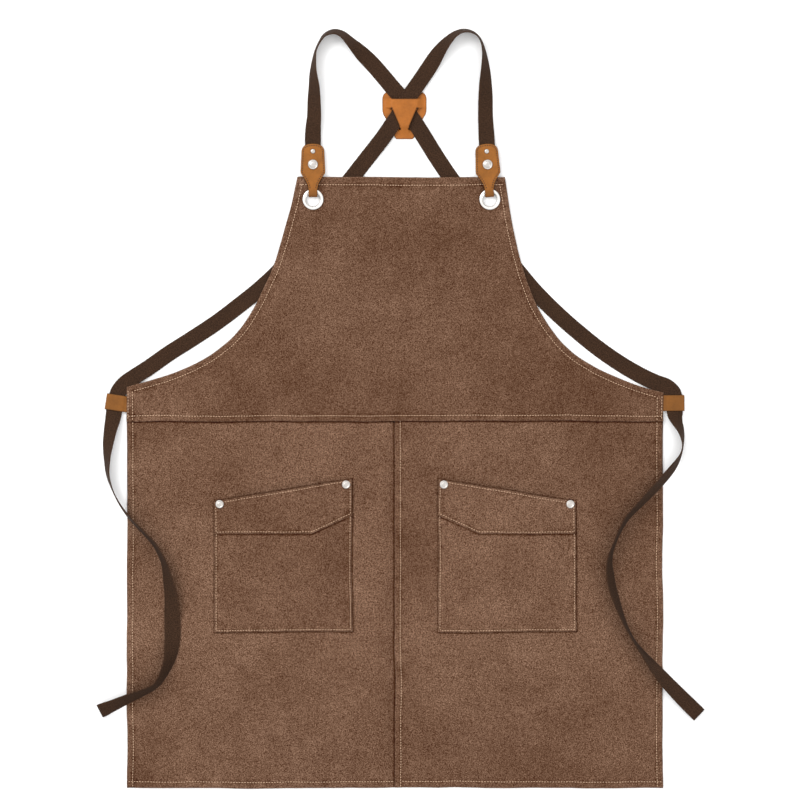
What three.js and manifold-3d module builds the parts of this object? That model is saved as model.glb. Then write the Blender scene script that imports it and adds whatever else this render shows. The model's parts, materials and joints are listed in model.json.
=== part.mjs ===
// Bib apron with crossed shoulder straps, laid flat on a table with its front face up.
// Millimetres. +X to the wearer's left (right side as seen), +Y from hem to neck, +Z up.
// The origin is the middle of the apron's footprint, on the table.
import * as THREE from "three";
import { mergeVertices } from "three/addons/utils/BufferGeometryUtils.js";
import Module from "manifold-3d";

const wasm = await Module();
wasm.setup();

// ---------- Driving dimensions ----------
const gap = 0.3; // clearance between neighbouring layers
const cloth = 1.0; // waxed canvas
const hemHeight = 3.1; // double-folded hem: three layers and their air
const webbing = 1.5;
const webbingWidth = 20;
const leather = 1.3;

const skirtWidth = 670;
const skirtBottom = -402.5;
const waistY = 56; // lower edge of the bib, lapped over the skirt
const waistLap = 8.5;
const centreLap = 9; // the right skirt panel laps over the left one at X = 0
const seamRamp = [14, 2]; // the under panel dips between these distances from the seam
const hemWidth = 10;

const bibTopY = 361;
const bibTopWidth = 260;
const bibLean = 8; // the top edge lies this far to +X of the skirt's middle
const armholeEndY = { left: 98, right: 92 };

const grommetDrop = 28; // grommet centres below the bib's top edge
const grommetY = bibTopY - grommetDrop;
const grommetSpan = 220.8; // between the two grommet centres
const grommetHoleR = 8.75;
const grommetBarrel = 0.75;
const grommetFlangeR = 13;
const grommetPlate = 0.6; // thickness of the washer
const grommetFlange = 1.1;

const tabLength = 69.5; // grommet centre to the top of the tab
const tabWidth = 31;
const neckWidth = 11.2;
const foldY = 6; // fold line above the grommet centre
const tabTurn = { left: 0, right: 3.8 }; // degrees, top towards -X
const snapY = 43.4;
const snapR = 6.25;
const tabRivetY = 59.9;
const tabRivetR = 3;
const strapEndY = 52; // the strap's end is held behind the tab from here
const strapEndProud = 1.5; // and its stub leaves the tab's top by this

const pocketWidth = 172;
const pocketCentre = 140;
const pocketBottom = -207;
const pocketTopInner = -16;
const pocketTopOuter = -44;
const pocketBulge = 4.9; // how far the mouth stands open
const pocketMargin = 0.075; // share of the width that lies flat at each side
const pocketRise = 0.22; // share at which the bulge is full
const facingKnee = 50; // from the inner edge
const facingLowOuter = -84.5;
const facingLowInner = -62.5;
const rivetR = 5.2;
const rivetInset = { inner: [7, 7], outer: [7, 3.5] }; // from the pocket's side edge and top corner
const postR = 1.5;

const loopHeight = 20;
const loopReach = 26; // past the apron's side edge
const loopSewn = 12; // under the apron's side edge
const loopY = { left: 77, right: 78.6 };
const loopTurn = { left: -9, right: 0.5 };

const keeperRise = 77.4; // keeper centre above the bib's top edge
const keeperPlace = [11.75, bibTopY + keeperRise];
const keeperHalf = 27.6;

// ---------- Layer heights, worked up from the table ----------
const table = 0.1;
const skirtTop = hemHeight;
const bibUnder = skirtTop + gap;
const bibTop = bibUnder + cloth;
const washerUnder = bibUnder - gap - grommetPlate;
const tongueTop = washerUnder - gap;
const tongueUnder = tongueTop - leather;
const flangeUnder = bibTop + gap;
const headUnder = flangeUnder + grommetFlange + gap;
const headTop = headUnder + leather;
const stubUnder = headUnder - gap - webbing;
const pocketUnder = skirtTop + gap;
const facingUnder = pocketUnder + cloth + gap;
const facingTop = facingUnder + cloth;
const keeperTop = table + leather;

// ---------- Colours ----------
const finish = (color, roughness, metalness = 0) =>
  new THREE.MeshStandardMaterial({ color, roughness, metalness });
const canvas = finish(0x765743, 0.92);
const canvasFacing = finish(0x705442, 0.92);
const webbingBrown = finish(0x453226, 0.85);
const tan = finish(0xba7640, 0.6);
const nickel = finish(0xdcdde0, 0.28, 1);

const apron = new THREE.Group();

function add(name, geometry, material, parent = apron) {
  const mesh = new THREE.Mesh(geometry, material);
  mesh.name = name;
  parent.add(mesh);
  return mesh;
}

// ---------- Shapes ----------
const blend = (x, low, high) => THREE.MathUtils.smoothstep(x, low, high);

// A flat plate of the given outline between two heights.
function plate(shape, under, top, curveSegments = 8) {
  const geometry = new THREE.ExtrudeGeometry(shape, {
    depth: top - under,
    bevelEnabled: false,
    curveSegments,
  });
  return geometry.translate(0, 0, under);
}

// A closed outline, always counter-clockwise, so that a hole in it keeps its walls.
function outline(points) {
  const corners = points.map(([x, y]) => new THREE.Vector2(x, y));
  if (THREE.ShapeUtils.isClockWise(corners)) corners.reverse();
  return new THREE.Shape(corners);
}

// A round piece about Z from a profile of [radius, height] points, counted from bottom to top.
function turned(profile, segments = 20) {
  const points = profile.map(([r, z]) => new THREE.Vector2(r, z));
  return new THREE.LatheGeometry(points, segments).rotateX(Math.PI / 2);
}

// A flat ring about Z. The profile closes on itself.
function ring(innerR, outerR, under, top, segments = 24) {
  const profile = [
    [innerR, under],
    [outerR, under],
    [outerR, top],
    [innerR, top],
    [innerR, under],
  ];
  return turned(profile, segments);
}

function pin(radius, under, top, segments = 12) {
  return turned([[0, under], [radius, under], [radius, top], [0, top]], segments);
}

function toSolid(geometry) {
  const plain = new THREE.BufferGeometry();
  plain.setAttribute("position", geometry.getAttribute("position").clone());
  if (geometry.index) plain.setIndex(geometry.index.clone());
  const merged = mergeVertices(plain, 1e-4);
  return new wasm.Manifold(
    new wasm.Mesh({
      numProp: 3,
      vertProperties: new Float32Array(merged.getAttribute("position").array),
      triVerts: new Uint32Array(merged.index.array),
    }),
  );
}

function toGeometry(solid) {
  const mesh = solid.getMesh();
  const geometry = new THREE.BufferGeometry();
  geometry.setAttribute("position", new THREE.BufferAttribute(mesh.vertProperties, 3));
  return geometry.setIndex(new THREE.BufferAttribute(mesh.triVerts, 1));
}

function cut(geometry, tools) {
  return toGeometry(tools.reduce((s, t) => s.subtract(toSolid(t)), toSolid(geometry)));
}

function join(geometries) {
  return toGeometry(geometries.map(toSolid).reduce((a, b) => a.add(b)));
}

// A closed sheet over a grid: place(u, v) gives x and y, heights(x, y, u, v) its two heights.
function sheet(us, vs, place, heights) {
  const positions = [];
  for (const side of [0, 1])
    for (const v of vs)
      for (const u of us) {
        const [x, y] = place(u, v);
        positions.push(x, y, heights(x, y, u, v)[side]);
      }
  const across = us.length;
  const layer = across * vs.length;
  const index = [];
  const quad = (a, b, c, d) => index.push(a, b, c, a, c, d);
  for (let j = 0; j < vs.length - 1; j++)
    for (let i = 0; i < across - 1; i++) {
      const a = j * across + i;
      quad(layer + a, layer + a + 1, layer + a + across + 1, layer + a + across);
      quad(a, a + across, a + across + 1, a + 1);
    }
  const rim = [];
  for (let i = 0; i < across - 1; i++) rim.push(i);
  for (let j = 0; j < vs.length - 1; j++) rim.push(j * across + across - 1);
  for (let i = across - 1; i > 0; i--) rim.push((vs.length - 1) * across + i);
  for (let j = vs.length - 1; j > 0; j--) rim.push(j * across);
  rim.forEach((a, k) => {
    const b = rim[(k + 1) % rim.length];
    quad(a, b, layer + b, layer + a);
  });
  const geometry = new THREE.BufferGeometry();
  geometry.setAttribute("position", new THREE.Float32BufferAttribute(positions, 3));
  return geometry.setIndex(index);
}

// Webbing along a route of [x, y, tilt, support height]. The tilt is in degrees, positive when
// the edge on the left of the direction of travel is raised; the low edge rests on the support.
function ribbon(route, stepsPerSpan = 2) {
  const path = new THREE.CatmullRomCurve3(
    route.map(([x, y]) => new THREE.Vector3(x, y, 0)),
  );
  const spans = route.length - 1;
  const steps = spans * stepsPerSpan;
  const positions = [];
  for (let i = 0; i <= steps; i++) {
    const t = i / steps;
    const k = Math.min(Math.floor(t * spans), spans - 1);
    const f = t * spans - k;
    const tilt = THREE.MathUtils.degToRad(THREE.MathUtils.lerp(route[k][2], route[k + 1][2], f));
    const support = THREE.MathUtils.lerp(route[k][3], route[k + 1][3], f);
    const centre = path.getPoint(t);
    const along = path.getTangent(t);
    const rise = Math.abs(Math.sin(tilt)) * (webbingWidth / 2);
    centre.z = support + rise + (Math.cos(tilt) * webbing) / 2;
    const width = new THREE.Vector3(
      -along.y * Math.cos(tilt),
      along.x * Math.cos(tilt),
      Math.sin(tilt),
    );
    const depth = new THREE.Vector3().crossVectors(along, width);
    for (const [w, d] of [[-1, -1], [1, -1], [1, 1], [-1, 1]]) {
      const corner = centre.clone();
      corner.addScaledVector(width, (w * webbingWidth) / 2);
      corner.addScaledVector(depth, (d * webbing) / 2);
      positions.push(corner.x, corner.y, corner.z);
    }
  }
  const index = [0, 3, 2, 0, 2, 1];
  for (let i = 0; i < steps; i++)
    for (let c = 0; c < 4; c++) {
      const a = i * 4 + c;
      const b = i * 4 + ((c + 1) % 4);
      index.push(a, b, b + 4, a, b + 4, a + 4);
    }
  const last = steps * 4;
  index.push(last, last + 1, last + 2, last, last + 2, last + 3);
  const geometry = new THREE.BufferGeometry();
  geometry.setAttribute("position", new THREE.Float32BufferAttribute(positions, 3));
  return geometry.setIndex(index);
}

// ---------- Pockets and their rivets ----------
const sides = [
  { name: "left", sign: -1 },
  { name: "right", sign: 1 },
];

// u runs from the pocket's outer edge to its inner edge, towards the centre seam.
const pocketX = (sign, u) => sign * (pocketCentre + (0.5 - u) * pocketWidth);
const pocketTopAt = (u) => THREE.MathUtils.lerp(pocketTopOuter, pocketTopInner, u);

function pocketLift(u, v) {
  const side = Math.min(u, 1 - u);
  const across = THREE.MathUtils.clamp((side - pocketMargin) / (pocketRise - pocketMargin), 0, 1);
  return pocketBulge * across * blend(v, 0.1, 0.4);
}

function rivetPlaces(sign) {
  const places = [];
  for (const [end, u] of [["inner", 1], ["outer", 0]]) {
    const [inX, inY] = rivetInset[end];
    const share = u === 1 ? 1 - inX / pocketWidth : inX / pocketWidth;
    places.push({ end, x: pocketX(sign, share), y: pocketTopAt(u) - inY });
  }
  return places;
}

const postHoles = (sign) =>
  rivetPlaces(sign).map(({ x, y }) => pin(postR + gap, -1, 20).translate(x, y, 0));

// ---------- Skirt ----------
function skirtPanel(sign) {
  const half = skirtWidth / 2;
  const top = waistY + waistLap;
  const ys = [skirtBottom, skirtBottom + hemWidth, skirtBottom + hemWidth + 1, -160, top];
  const [far, near] = seamRamp;
  const xs =
    sign < 0
      ? [-half, -half + hemWidth, -half + hemWidth + 1, -170, -far, -near, centreLap]
      : [0, centreLap + 1, centreLap + 2, 170, half - hemWidth - 1, half - hemWidth, half];
  const lapped = cloth; // the under panel's top at the seam
  const heights = (x, y) => {
    const sideHem = Math.abs(x) >= half - hemWidth && x * sign > 0;
    const bottomHem = y <= skirtBottom + hemWidth;
    if (sign < 0) {
      const upper = THREE.MathUtils.lerp(skirtTop, lapped, blend(x, -far, -near));
      return [sideHem || bottomHem ? 0 : Math.max(0, upper - cloth), upper];
    }
    const overLap = x <= centreLap + 1;
    const hemUnder = overLap ? lapped + gap : 0;
    return [sideHem || bottomHem ? hemUnder : skirtTop - cloth, skirtTop];
  };
  const panel = sheet(xs, ys, (u, v) => [u, v], heights);
  return cut(panel, postHoles(sign));
}

for (const { name, sign } of sides) add(`skirt_panel_${name}`, skirtPanel(sign), canvas);

// ---------- Bib ----------
const grommetX = (sign) => bibLean + (sign * grommetSpan) / 2;

function bibOutline() {
  const half = skirtWidth / 2;
  const topHalf = bibTopWidth / 2;
  const drop = bibTopY - 141;
  const shape = new THREE.Shape();
  shape.moveTo(-half, waistY);
  shape.lineTo(half, waistY);
  shape.lineTo(half, armholeEndY.right);
  shape.bezierCurveTo(
    half - 105,
    armholeEndY.right + 31.5,
    topHalf + 0.16 * drop,
    bibTopY - drop,
    bibLean + topHalf,
    bibTopY,
  );
  shape.lineTo(bibLean - topHalf, bibTopY);
  shape.bezierCurveTo(
    -topHalf - 0.16 * drop,
    bibTopY - drop,
    105 - half,
    armholeEndY.left + 31.5,
    -half,
    armholeEndY.left,
  );
  shape.closePath();
  for (const { sign } of sides) {
    const hole = new THREE.Path();
    hole.absarc(grommetX(sign), grommetY, grommetHoleR + grommetBarrel + gap, 0, 2 * Math.PI);
    shape.holes.push(hole);
  }
  return shape;
}

add("bib_panel", plate(bibOutline(), bibUnder, bibTop, 14), canvas);

// ---------- Pocket bags, facings and rivets ----------
for (const { name, sign } of sides) {
  const kneeU = 1 - facingKnee / pocketWidth;
  const us = [0, pocketMargin, pocketRise, 0.5, kneeU, 1 - pocketRise, 1 - pocketMargin, 1];
  if (sign > 0) us.reverse(); // keeps X rising along the grid
  const vs = [0, 0.1, 0.17, 0.25, 0.33, 0.4, 0.7, 1];
  const bag = sheet(
    us,
    vs,
    (u, v) => [pocketX(sign, u), THREE.MathUtils.lerp(pocketBottom, pocketTopAt(u), v)],
    (x, y, u, v) => {
      const under = pocketUnder + pocketLift(u, v);
      return [under, under + cloth];
    },
  );
  add(`pocket_bag_${name}`, cut(bag, postHoles(sign)), canvas);

  const facingLow = (u) =>
    u <= kneeU
      ? facingLowOuter
      : THREE.MathUtils.lerp(facingLowOuter, facingLowInner, (u - kneeU) / (1 - kneeU));
  const facing = sheet(
    us,
    [0, 0.5, 1],
    (u, v) => [pocketX(sign, u), THREE.MathUtils.lerp(facingLow(u), pocketTopAt(u), v)],
    (x, y, u) => {
      const under = facingUnder + pocketLift(u, 1);
      return [under, under + cloth];
    },
  );
  add(`pocket_facing_${name}`, cut(facing, postHoles(sign)), canvasFacing);

  for (const { end, x, y } of rivetPlaces(sign)) {
    const capUnder = facingTop + gap;
    const burrTop = skirtTop - cloth - gap;
    const cap = turned([
      [0, burrTop - 0.6],
      [postR, burrTop - 0.6],
      [postR, capUnder],
      [rivetR, capUnder],
      [rivetR, capUnder + 0.5],
      [rivetR - 0.6, capUnder + 1.1],
      [rivetR - 1.8, capUnder + 1.3],
      [0, capUnder + 1.3],
    ]);
    add(`pocket_rivet_${name}_${end}`, cap.translate(x, y, 0), nickel);
    const burr = ring(postR + gap, rivetR - 0.7, burrTop - 0.9, burrTop, 16);
    add(`pocket_burr_${name}_${end}`, burr.translate(x, y, 0), nickel);
  }
}

// ---------- Grommets ----------
for (const { name, sign } of sides) {
  const place = [grommetX(sign), grommetY, 0];
  const barrelR = grommetHoleR + grommetBarrel;
  const barrel = [
    [grommetHoleR, washerUnder],
    [barrelR, washerUnder],
    [barrelR, flangeUnder],
    [grommetFlangeR, flangeUnder],
    [grommetFlangeR - 0.5, flangeUnder + 0.7],
    [grommetFlangeR - 2.2, flangeUnder + grommetFlange],
    [grommetHoleR + 0.7, flangeUnder + 0.8],
    [grommetHoleR, flangeUnder + 0.3],
    [grommetHoleR, washerUnder],
  ];
  add(`grommet_${name}`, turned(barrel, 28).translate(...place), nickel);
  const washer = ring(barrelR + gap, grommetFlangeR, washerUnder, washerUnder + grommetPlate);
  add(`grommet_washer_${name}`, washer.translate(...place), nickel);
}

// ---------- Leather tabs, each folded through its grommet and snapped to itself ----------
function headOutline() {
  const half = tabWidth / 2;
  const neck = neckWidth / 2;
  const shape = new THREE.Shape();
  shape.moveTo(-neck, foldY + gap);
  shape.lineTo(neck, foldY + gap);
  shape.lineTo(neck, foldY + 5);
  shape.bezierCurveTo(neck + 0.2, foldY + 18, half - 0.5, foldY + 21, half, foldY + 30);
  shape.lineTo(half - 0.8, tabLength - 8);
  shape.quadraticCurveTo(half - 1.2, tabLength - 0.6, half - 8, tabLength);
  shape.lineTo(8 - half, tabLength);
  shape.quadraticCurveTo(1.2 - half, tabLength - 0.6, 0.8 - half, tabLength - 8);
  shape.lineTo(-half, foldY + 30);
  shape.bezierCurveTo(0.5 - half, foldY + 21, -neck - 0.2, foldY + 18, -neck, foldY + 5);
  shape.closePath();
  return shape;
}

function tongueOutline() {
  const neck = neckWidth / 2;
  const endR = 8.5;
  const shape = new THREE.Shape();
  shape.moveTo(-neck, foldY);
  shape.lineTo(neck, foldY);
  shape.lineTo(neck, snapY - 16);
  shape.quadraticCurveTo(endR, snapY - 10, endR, snapY - 1);
  shape.absarc(0, snapY - 1, endR, 0, Math.PI, false);
  shape.quadraticCurveTo(-endR, snapY - 10, -neck, snapY - 16);
  shape.closePath();
  return shape;
}

// The bend that carries the leather down through the grommet.
function fold() {
  const outer = (headTop - tongueUnder) / 2;
  const shape = new THREE.Shape();
  shape.absarc(0, 0, outer, Math.PI / 2, 1.5 * Math.PI, false);
  shape.lineTo(0.2, -outer);
  shape.lineTo(0.2, leather - outer);
  shape.absarc(0, 0, outer - leather, 1.5 * Math.PI, Math.PI / 2, true);
  shape.closePath();
  const bend = new THREE.ExtrudeGeometry(shape, {
    depth: neckWidth,
    bevelEnabled: false,
    curveSegments: 10,
  });
  bend.rotateY(Math.PI / 2).rotateX(Math.PI / 2);
  return bend.translate(-neckWidth / 2, foldY, (headTop + tongueUnder) / 2);
}

for (const { name, sign } of sides) {
  const tab = new THREE.Group();
  tab.position.set(grommetX(sign), grommetY, 0);
  tab.rotation.z = THREE.MathUtils.degToRad(tabTurn[name]);
  apron.add(tab);

  const at = (y, geometry) => geometry.translate(0, y, 0);
  const snapHole = at(snapY, pin(1.6 + gap, -1, 20));
  const rivetHole = () => at(tabRivetY, pin(1.2 + gap, -1, 20));

  const head = cut(plate(headOutline(), headUnder, headTop, 7), [snapHole, rivetHole()]);
  add(`tab_head_${name}`, head, tan, tab);

  const tongue = cut(plate(tongueOutline(), tongueUnder, tongueTop, 8), [snapHole]);
  add(`tab_tongue_${name}`, join([fold(), tongue]), tan, tab);

  const stub = new THREE.BoxGeometry(
    webbingWidth,
    tabLength + strapEndProud - strapEndY,
    webbing,
  );
  stub.translate(0, (tabLength + strapEndProud + strapEndY) / 2, stubUnder + webbing / 2);
  add(`strap_end_${name}`, cut(stub, [rivetHole()]), webbingBrown, tab);

  const capUnder = headTop + gap;
  const cap = turned([
    [0, headUnder - 1.3],
    [1.6, headUnder - 1.3],
    [1.6, capUnder],
    [snapR, capUnder],
    [snapR, capUnder + 0.7],
    [snapR - 1, capUnder + 1.6],
    [snapR - 2.6, capUnder + 2.1],
    [0, capUnder + 2.3],
  ]);
  add(`snap_cap_${name}`, at(snapY, cap), nickel, tab);
  const socket = ring(2.9, 5.2, headUnder - gap - 1.7, headUnder - gap, 18);
  add(`snap_socket_${name}`, at(snapY, socket), nickel, tab);
  const stud = turned([
    [0, tongueUnder - gap],
    [1.6, tongueUnder - gap],
    [1.6, tongueTop + gap],
    [5, tongueTop + gap],
    [5, tongueTop + gap + 0.5],
    [2.2, tongueTop + gap + 0.6],
    [2.5, headUnder - 1.9],
    [1.8, headUnder - 1.6],
    [0, headUnder - 1.6],
  ], 18);
  add(`snap_stud_${name}`, at(snapY, stud), nickel, tab);
  const eyelet = ring(1.6 + gap, 4.6, table, tongueUnder - gap, 18);
  add(`snap_eyelet_${name}`, at(snapY, eyelet), nickel, tab);

  const tabRivet = turned([
    [0, stubUnder - gap - 0.6],
    [1.2, stubUnder - gap - 0.6],
    [1.2, capUnder],
    [tabRivetR, capUnder],
    [tabRivetR - 0.3, capUnder + 0.7],
    [tabRivetR - 1.5, capUnder + 1.2],
    [0, capUnder + 1.3],
  ], 16);
  add(`tab_rivet_${name}`, at(tabRivetY, tabRivet), nickel, tab);
  const tabBurr = ring(1.2 + gap, tabRivetR, stubUnder - gap - 0.9, stubUnder - gap, 16);
  add(`tab_burr_${name}`, at(tabRivetY, tabBurr), nickel, tab);
}

// ---------- Side loops: a leather band sewn under each side edge, the strap runs through ----------
for (const { name, sign } of sides) {
  const strapTop = table + leather + gap + webbing;
  const front = strapTop + gap;
  const sewnTop = bibUnder - 0.4;
  const band = outline([
    [sign * -loopSewn, table],
    [sign * (loopReach - 0.9), table],
    [sign * loopReach, table + 1.2],
    [sign * loopReach, front],
    [sign * (loopReach - 0.9), front + leather],
    [sign * 5.2, front + leather],
    [sign * 1.3, sewnTop],
    [sign * -loopSewn, sewnTop],
  ]);
  const slot = new THREE.Path();
  slot.setFromPoints(
    [
      [2.6, table + leather],
      [loopReach - 1.1, table + leather],
      [loopReach - 1.1, front],
      [3.9, front],
      [2.6, table + 2],
    ].map(([s, z]) => new THREE.Vector2(sign * s, z)),
  );
  band.holes.push(slot);
  const loop = new THREE.ExtrudeGeometry(band, { depth: loopHeight, bevelEnabled: false });
  loop.rotateX(Math.PI / 2).translate(0, loopHeight / 2, 0);
  const mesh = add(`side_loop_${name}`, loop, tan);
  mesh.position.set((sign * skirtWidth) / 2, loopY[name], 0);
  mesh.rotation.z = THREE.MathUtils.degToRad(loopTurn[name]);
}

// ---------- Cross keeper: one leather patch, its middle raised over both straps ----------
function keeper() {
  const raised = headUnder - 0.5; // clear of the two crossed straps
  const half = keeperHalf;
  const right = [
    [10.5, -29.4],
    [13.2, -25],
    [half - 5, -5],
    [half - 1.4, 0.4],
    [half, 8],
    [half, 21.6],
    [half - 1.4, 25.6],
    [half - 4.5, 29],
    [half - 8, 26],
  ];
  const mirrored = (points) => [...points, ...points.map(([x, y]) => [-x, y]).reverse()];
  const body = outline(mirrored(right));
  const window = new THREE.Path();
  const windowRight = [[4.6, -22], [5, -19.8], [16.6, 8.2], [20.5, 8.2], [20.5, 20.7]];
  window.setFromPoints(mirrored(windowRight).map(([x, y]) => new THREE.Vector2(x, y)));
  body.holes.push(window);
  const flat = plate(body, table, keeperTop);
  const patchRight = [[4.3, -17.4], [16.2, 9], [16.2, 20.1]];
  const patch = plate(outline(mirrored(patchRight)), raised, raised + leather);
  const ramp = (from, to, over) => [
    [from + over, table],
    [from, table],
    [to, raised],
    [to - over, raised],
    [to - over, raised + leather],
    [to + 0.4, raised + leather],
    [from + 0.4, keeperTop],
    [from + over, keeperTop],
  ];
  const bridges = [1, -1].map((sign) => {
    const shape = outline(ramp(20.2, 16, 1).map(([x, z]) => [sign * x, z]));
    const bridge = new THREE.ExtrudeGeometry(shape, { depth: 10.8, bevelEnabled: false });
    return bridge.rotateX(Math.PI / 2).translate(0, 19.9, 0);
  });
  const foot = new THREE.ExtrudeGeometry(outline(ramp(21.7, 17, 0.8)), {
    depth: 8.6,
    bevelEnabled: false,
  });
  foot.rotateX(Math.PI / 2).rotateZ(-Math.PI / 2).translate(4.3, 0, 0);
  return join([flat, patch, ...bridges, foot]);
}

const keeperMesh = add("cross_keeper", keeper(), tan);
keeperMesh.position.set(keeperPlace[0], keeperPlace[1], 0);

// ---------- Straps: routes of [x, y, tilt, support height] ----------
const onKeeper = keeperTop + gap;
const overStrap = onKeeper + webbing + gap;
const inLoop = table + leather + gap;
const onSkirt = skirtTop + gap;

const shoulderRoutes = {
  left: [
    [-102.4, 404.3, 0, stubUnder],
    [-102.5, 412, 0, 2.6],
    [-102, 424, -16, 1.2],
    [-101, 436, -26, 0.4],
    [-101, 456, -34, table],
    [-101, 474, -47, table],
    [-102, 490, -63, table],
    [-101, 506, -76, table],
    [-99, 518, -84, table],
    [-94, 529, -82, table],
    [-87, 538, -74, table],
    [-76, 542, -66, table],
    [-66, 539, -62, table],
    [-57, 531, -53, table],
    [-50, 524, -40, table],
    [-41, 515, -18, table],
    [-28, 502, 0, table],
    [-15, 487, 0, 0.9],
    [-5, 475, 0, onKeeper],
    [9, 458, 0, onKeeper],
    [16.5, 442, 0, onKeeper],
    [27, 426, 0, onKeeper],
    [37, 410, 0, onKeeper],
    [50, 389, 0, 0.6],
    [66, 365, 0, table],
    [90, 331, 0, table],
    [114, 297, 0, table],
    [137, 265, 0, table],
    [158, 238, 0, table],
    [176, 217, 0, table],
    [202, 191, 0, table],
    [228, 168, 0, table],
    [256, 147, 0, table],
    [283, 129, 0, table],
    [308, 115, 0, 0.7],
    [327, 107, 0, 1.2],
    [340.5, 102, 0, inLoop],
    [348.1, 93, 0, inLoop],
    [349.4, 80, 0, inLoop],
    [349.5, 67.2, 0, inLoop],
  ],
  right: [
    [114.7, 404.2, 0, stubUnder],
    [114.2, 412, 3, 2.6],
    [113.6, 424, 14, 1.2],
    [113, 436, 20, 0.4],
    [113, 460, 24, table],
    [113, 478, 38, table],
    [113, 492, 52, table],
    [112.5, 505, 65, table],
    [111, 518, 77, table],
    [108, 529, 83, table],
    [103, 537, 82, table],
    [95, 542, 77, table],
    [85, 543, 72, table],
    [75, 539, 65, table],
    [67, 532, 55, table],
    [59, 523, 41, table],
    [52, 513, 24, table],
    [44, 500, 4, 1.4],
    [34, 485, 0, 2.8],
    [24.3, 471, 0, overStrap],
    [15.5, 458, 0, overStrap],
    [7, 442, 0, overStrap],
    [-4, 426, 0, overStrap],
    [-15, 410, 0, 2.6],
    [-33, 387, 0, 0.6],
    [-51, 364, 0, table],
    [-75, 333, 0, table],
    [-99, 302, 0, table],
    [-122, 271, 0, table],
    [-144, 245, 0, table],
    [-166, 224, 0, table],
    [-193, 202, 0, table],
    [-222, 180, 0, table],
    [-252, 160, 0, table],
    [-282, 141, 0, table],
    [-309, 122, 0, 0.8],
    [-327, 110.5, 0, 1.2],
    [-339.5, 101, 0, inLoop],
    [-346.3, 91, 0, inLoop],
    [-349.1, 79, 0, inLoop],
    [-350.9, 67.6, 0, inLoop],
  ],
};

// Each tie starts 1.2 mm past the lower edge of its side loop, where the strap comes out.
const tieRoutes = {
  left: [
    [-351.1, 66.4, 0, inLoop],
    [-352.4, 58, 14, 1.2],
    [-355, 46, 30, 0.5],
    [-358, 27, 46, table],
    [-359, 9, 63, table],
    [-358, -11, 76, table],
    [-352, -30, 85, 1.2],
    [-342, -49, 82, 3.4],
    [-330, -65, 78, onSkirt],
    [-312, -84, 76, onSkirt],
    [-300, -97, 72, onSkirt],
    [-293, -109, 70, onSkirt],
    [-287, -123, 65, onSkirt],
    [-283, -141, 50, onSkirt],
    [-279, -165, 30, onSkirt],
    [-278, -190, 4, onSkirt],
    [-278, -217, -13, onSkirt],
    [-281, -240, -46, onSkirt],
    [-288, -258, -61, onSkirt],
    [-298, -273, -70, onSkirt],
    [-312, -281, -64, onSkirt],
    [-331, -289, -54, onSkirt],
    [-355, -300, -38, 2.6],
    [-368.5, -306, -24, 1.4],
  ],
  right: [
    [349.5, 66, 0, inLoop],
    [349.8, 61, -8, 1.4],
    [351.8, 54.5, -34, 0.9],
    [356, 46, -54, 0.4],
    [358.5, 36, -70, table],
    [359, 26, -84, table],
    [356.5, 15, -82, 0.6],
    [350, 3, -66, 1.8],
    [340, -10, -58, 3.2],
    [322, -30, -58, onSkirt],
    [305, -48, -66, onSkirt],
    [290, -64, -70, onSkirt],
    [281, -79, -75, onSkirt],
    [274, -95, -78, onSkirt],
    [269, -109, -72, onSkirt],
    [267, -122, -65, onSkirt],
    [268, -134, -58, onSkirt],
    [270.5, -150, -57, onSkirt],
    [277, -171, -63, onSkirt],
    [286, -195, -76, onSkirt],
    [298, -218, -82, onSkirt],
    [312, -237, -68, onSkirt],
    [329, -258, -42, onSkirt],
    [350, -281, -26, 2.4],
    [380, -311, -12, 1.0],
  ],
};

for (const { name } of sides) {
  add(`shoulder_strap_${name}`, ribbon(shoulderRoutes[name]), webbingBrown);
  add(`tie_strap_${name}`, ribbon(tieRoutes[name]), webbingBrown);
}

export default apron;
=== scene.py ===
"""Butcher apron: the looks of the cloth, webbing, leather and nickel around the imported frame."""
import json
import math

import bpy
import numpy as np
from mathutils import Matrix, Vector, noise

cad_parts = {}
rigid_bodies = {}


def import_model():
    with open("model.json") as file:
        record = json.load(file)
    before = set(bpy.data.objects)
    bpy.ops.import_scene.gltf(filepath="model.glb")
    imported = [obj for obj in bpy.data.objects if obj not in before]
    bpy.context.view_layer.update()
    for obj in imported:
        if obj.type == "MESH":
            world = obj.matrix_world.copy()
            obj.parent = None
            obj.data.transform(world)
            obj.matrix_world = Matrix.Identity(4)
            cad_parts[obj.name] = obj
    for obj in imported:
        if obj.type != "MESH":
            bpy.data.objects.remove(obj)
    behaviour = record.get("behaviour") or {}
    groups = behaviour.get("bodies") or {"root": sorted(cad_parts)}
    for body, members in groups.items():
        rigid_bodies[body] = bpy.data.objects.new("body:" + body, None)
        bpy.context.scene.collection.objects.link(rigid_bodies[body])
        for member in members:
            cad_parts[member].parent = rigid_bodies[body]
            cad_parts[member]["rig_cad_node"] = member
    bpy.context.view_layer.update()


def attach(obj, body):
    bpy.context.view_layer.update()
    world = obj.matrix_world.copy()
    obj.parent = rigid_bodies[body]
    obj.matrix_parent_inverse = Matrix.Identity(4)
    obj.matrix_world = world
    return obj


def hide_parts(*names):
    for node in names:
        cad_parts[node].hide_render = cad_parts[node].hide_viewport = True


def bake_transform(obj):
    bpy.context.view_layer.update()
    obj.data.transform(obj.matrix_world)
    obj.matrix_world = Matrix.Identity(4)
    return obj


bl_info = {
    "name": "Butcher apron",
    "version": (1, 0, 0),
    "blender": (4, 5, 0),
    "location": "View3D > Sidebar > Apron",
    "description": "Makes a canvas bib apron with crossed webbing straps and leather fittings",
    "category": "Add Mesh",
}

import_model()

MM = 0.001
LEFT, RIGHT = "left", "right"
SIGN = {LEFT: -1, RIGHT: 1}

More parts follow.
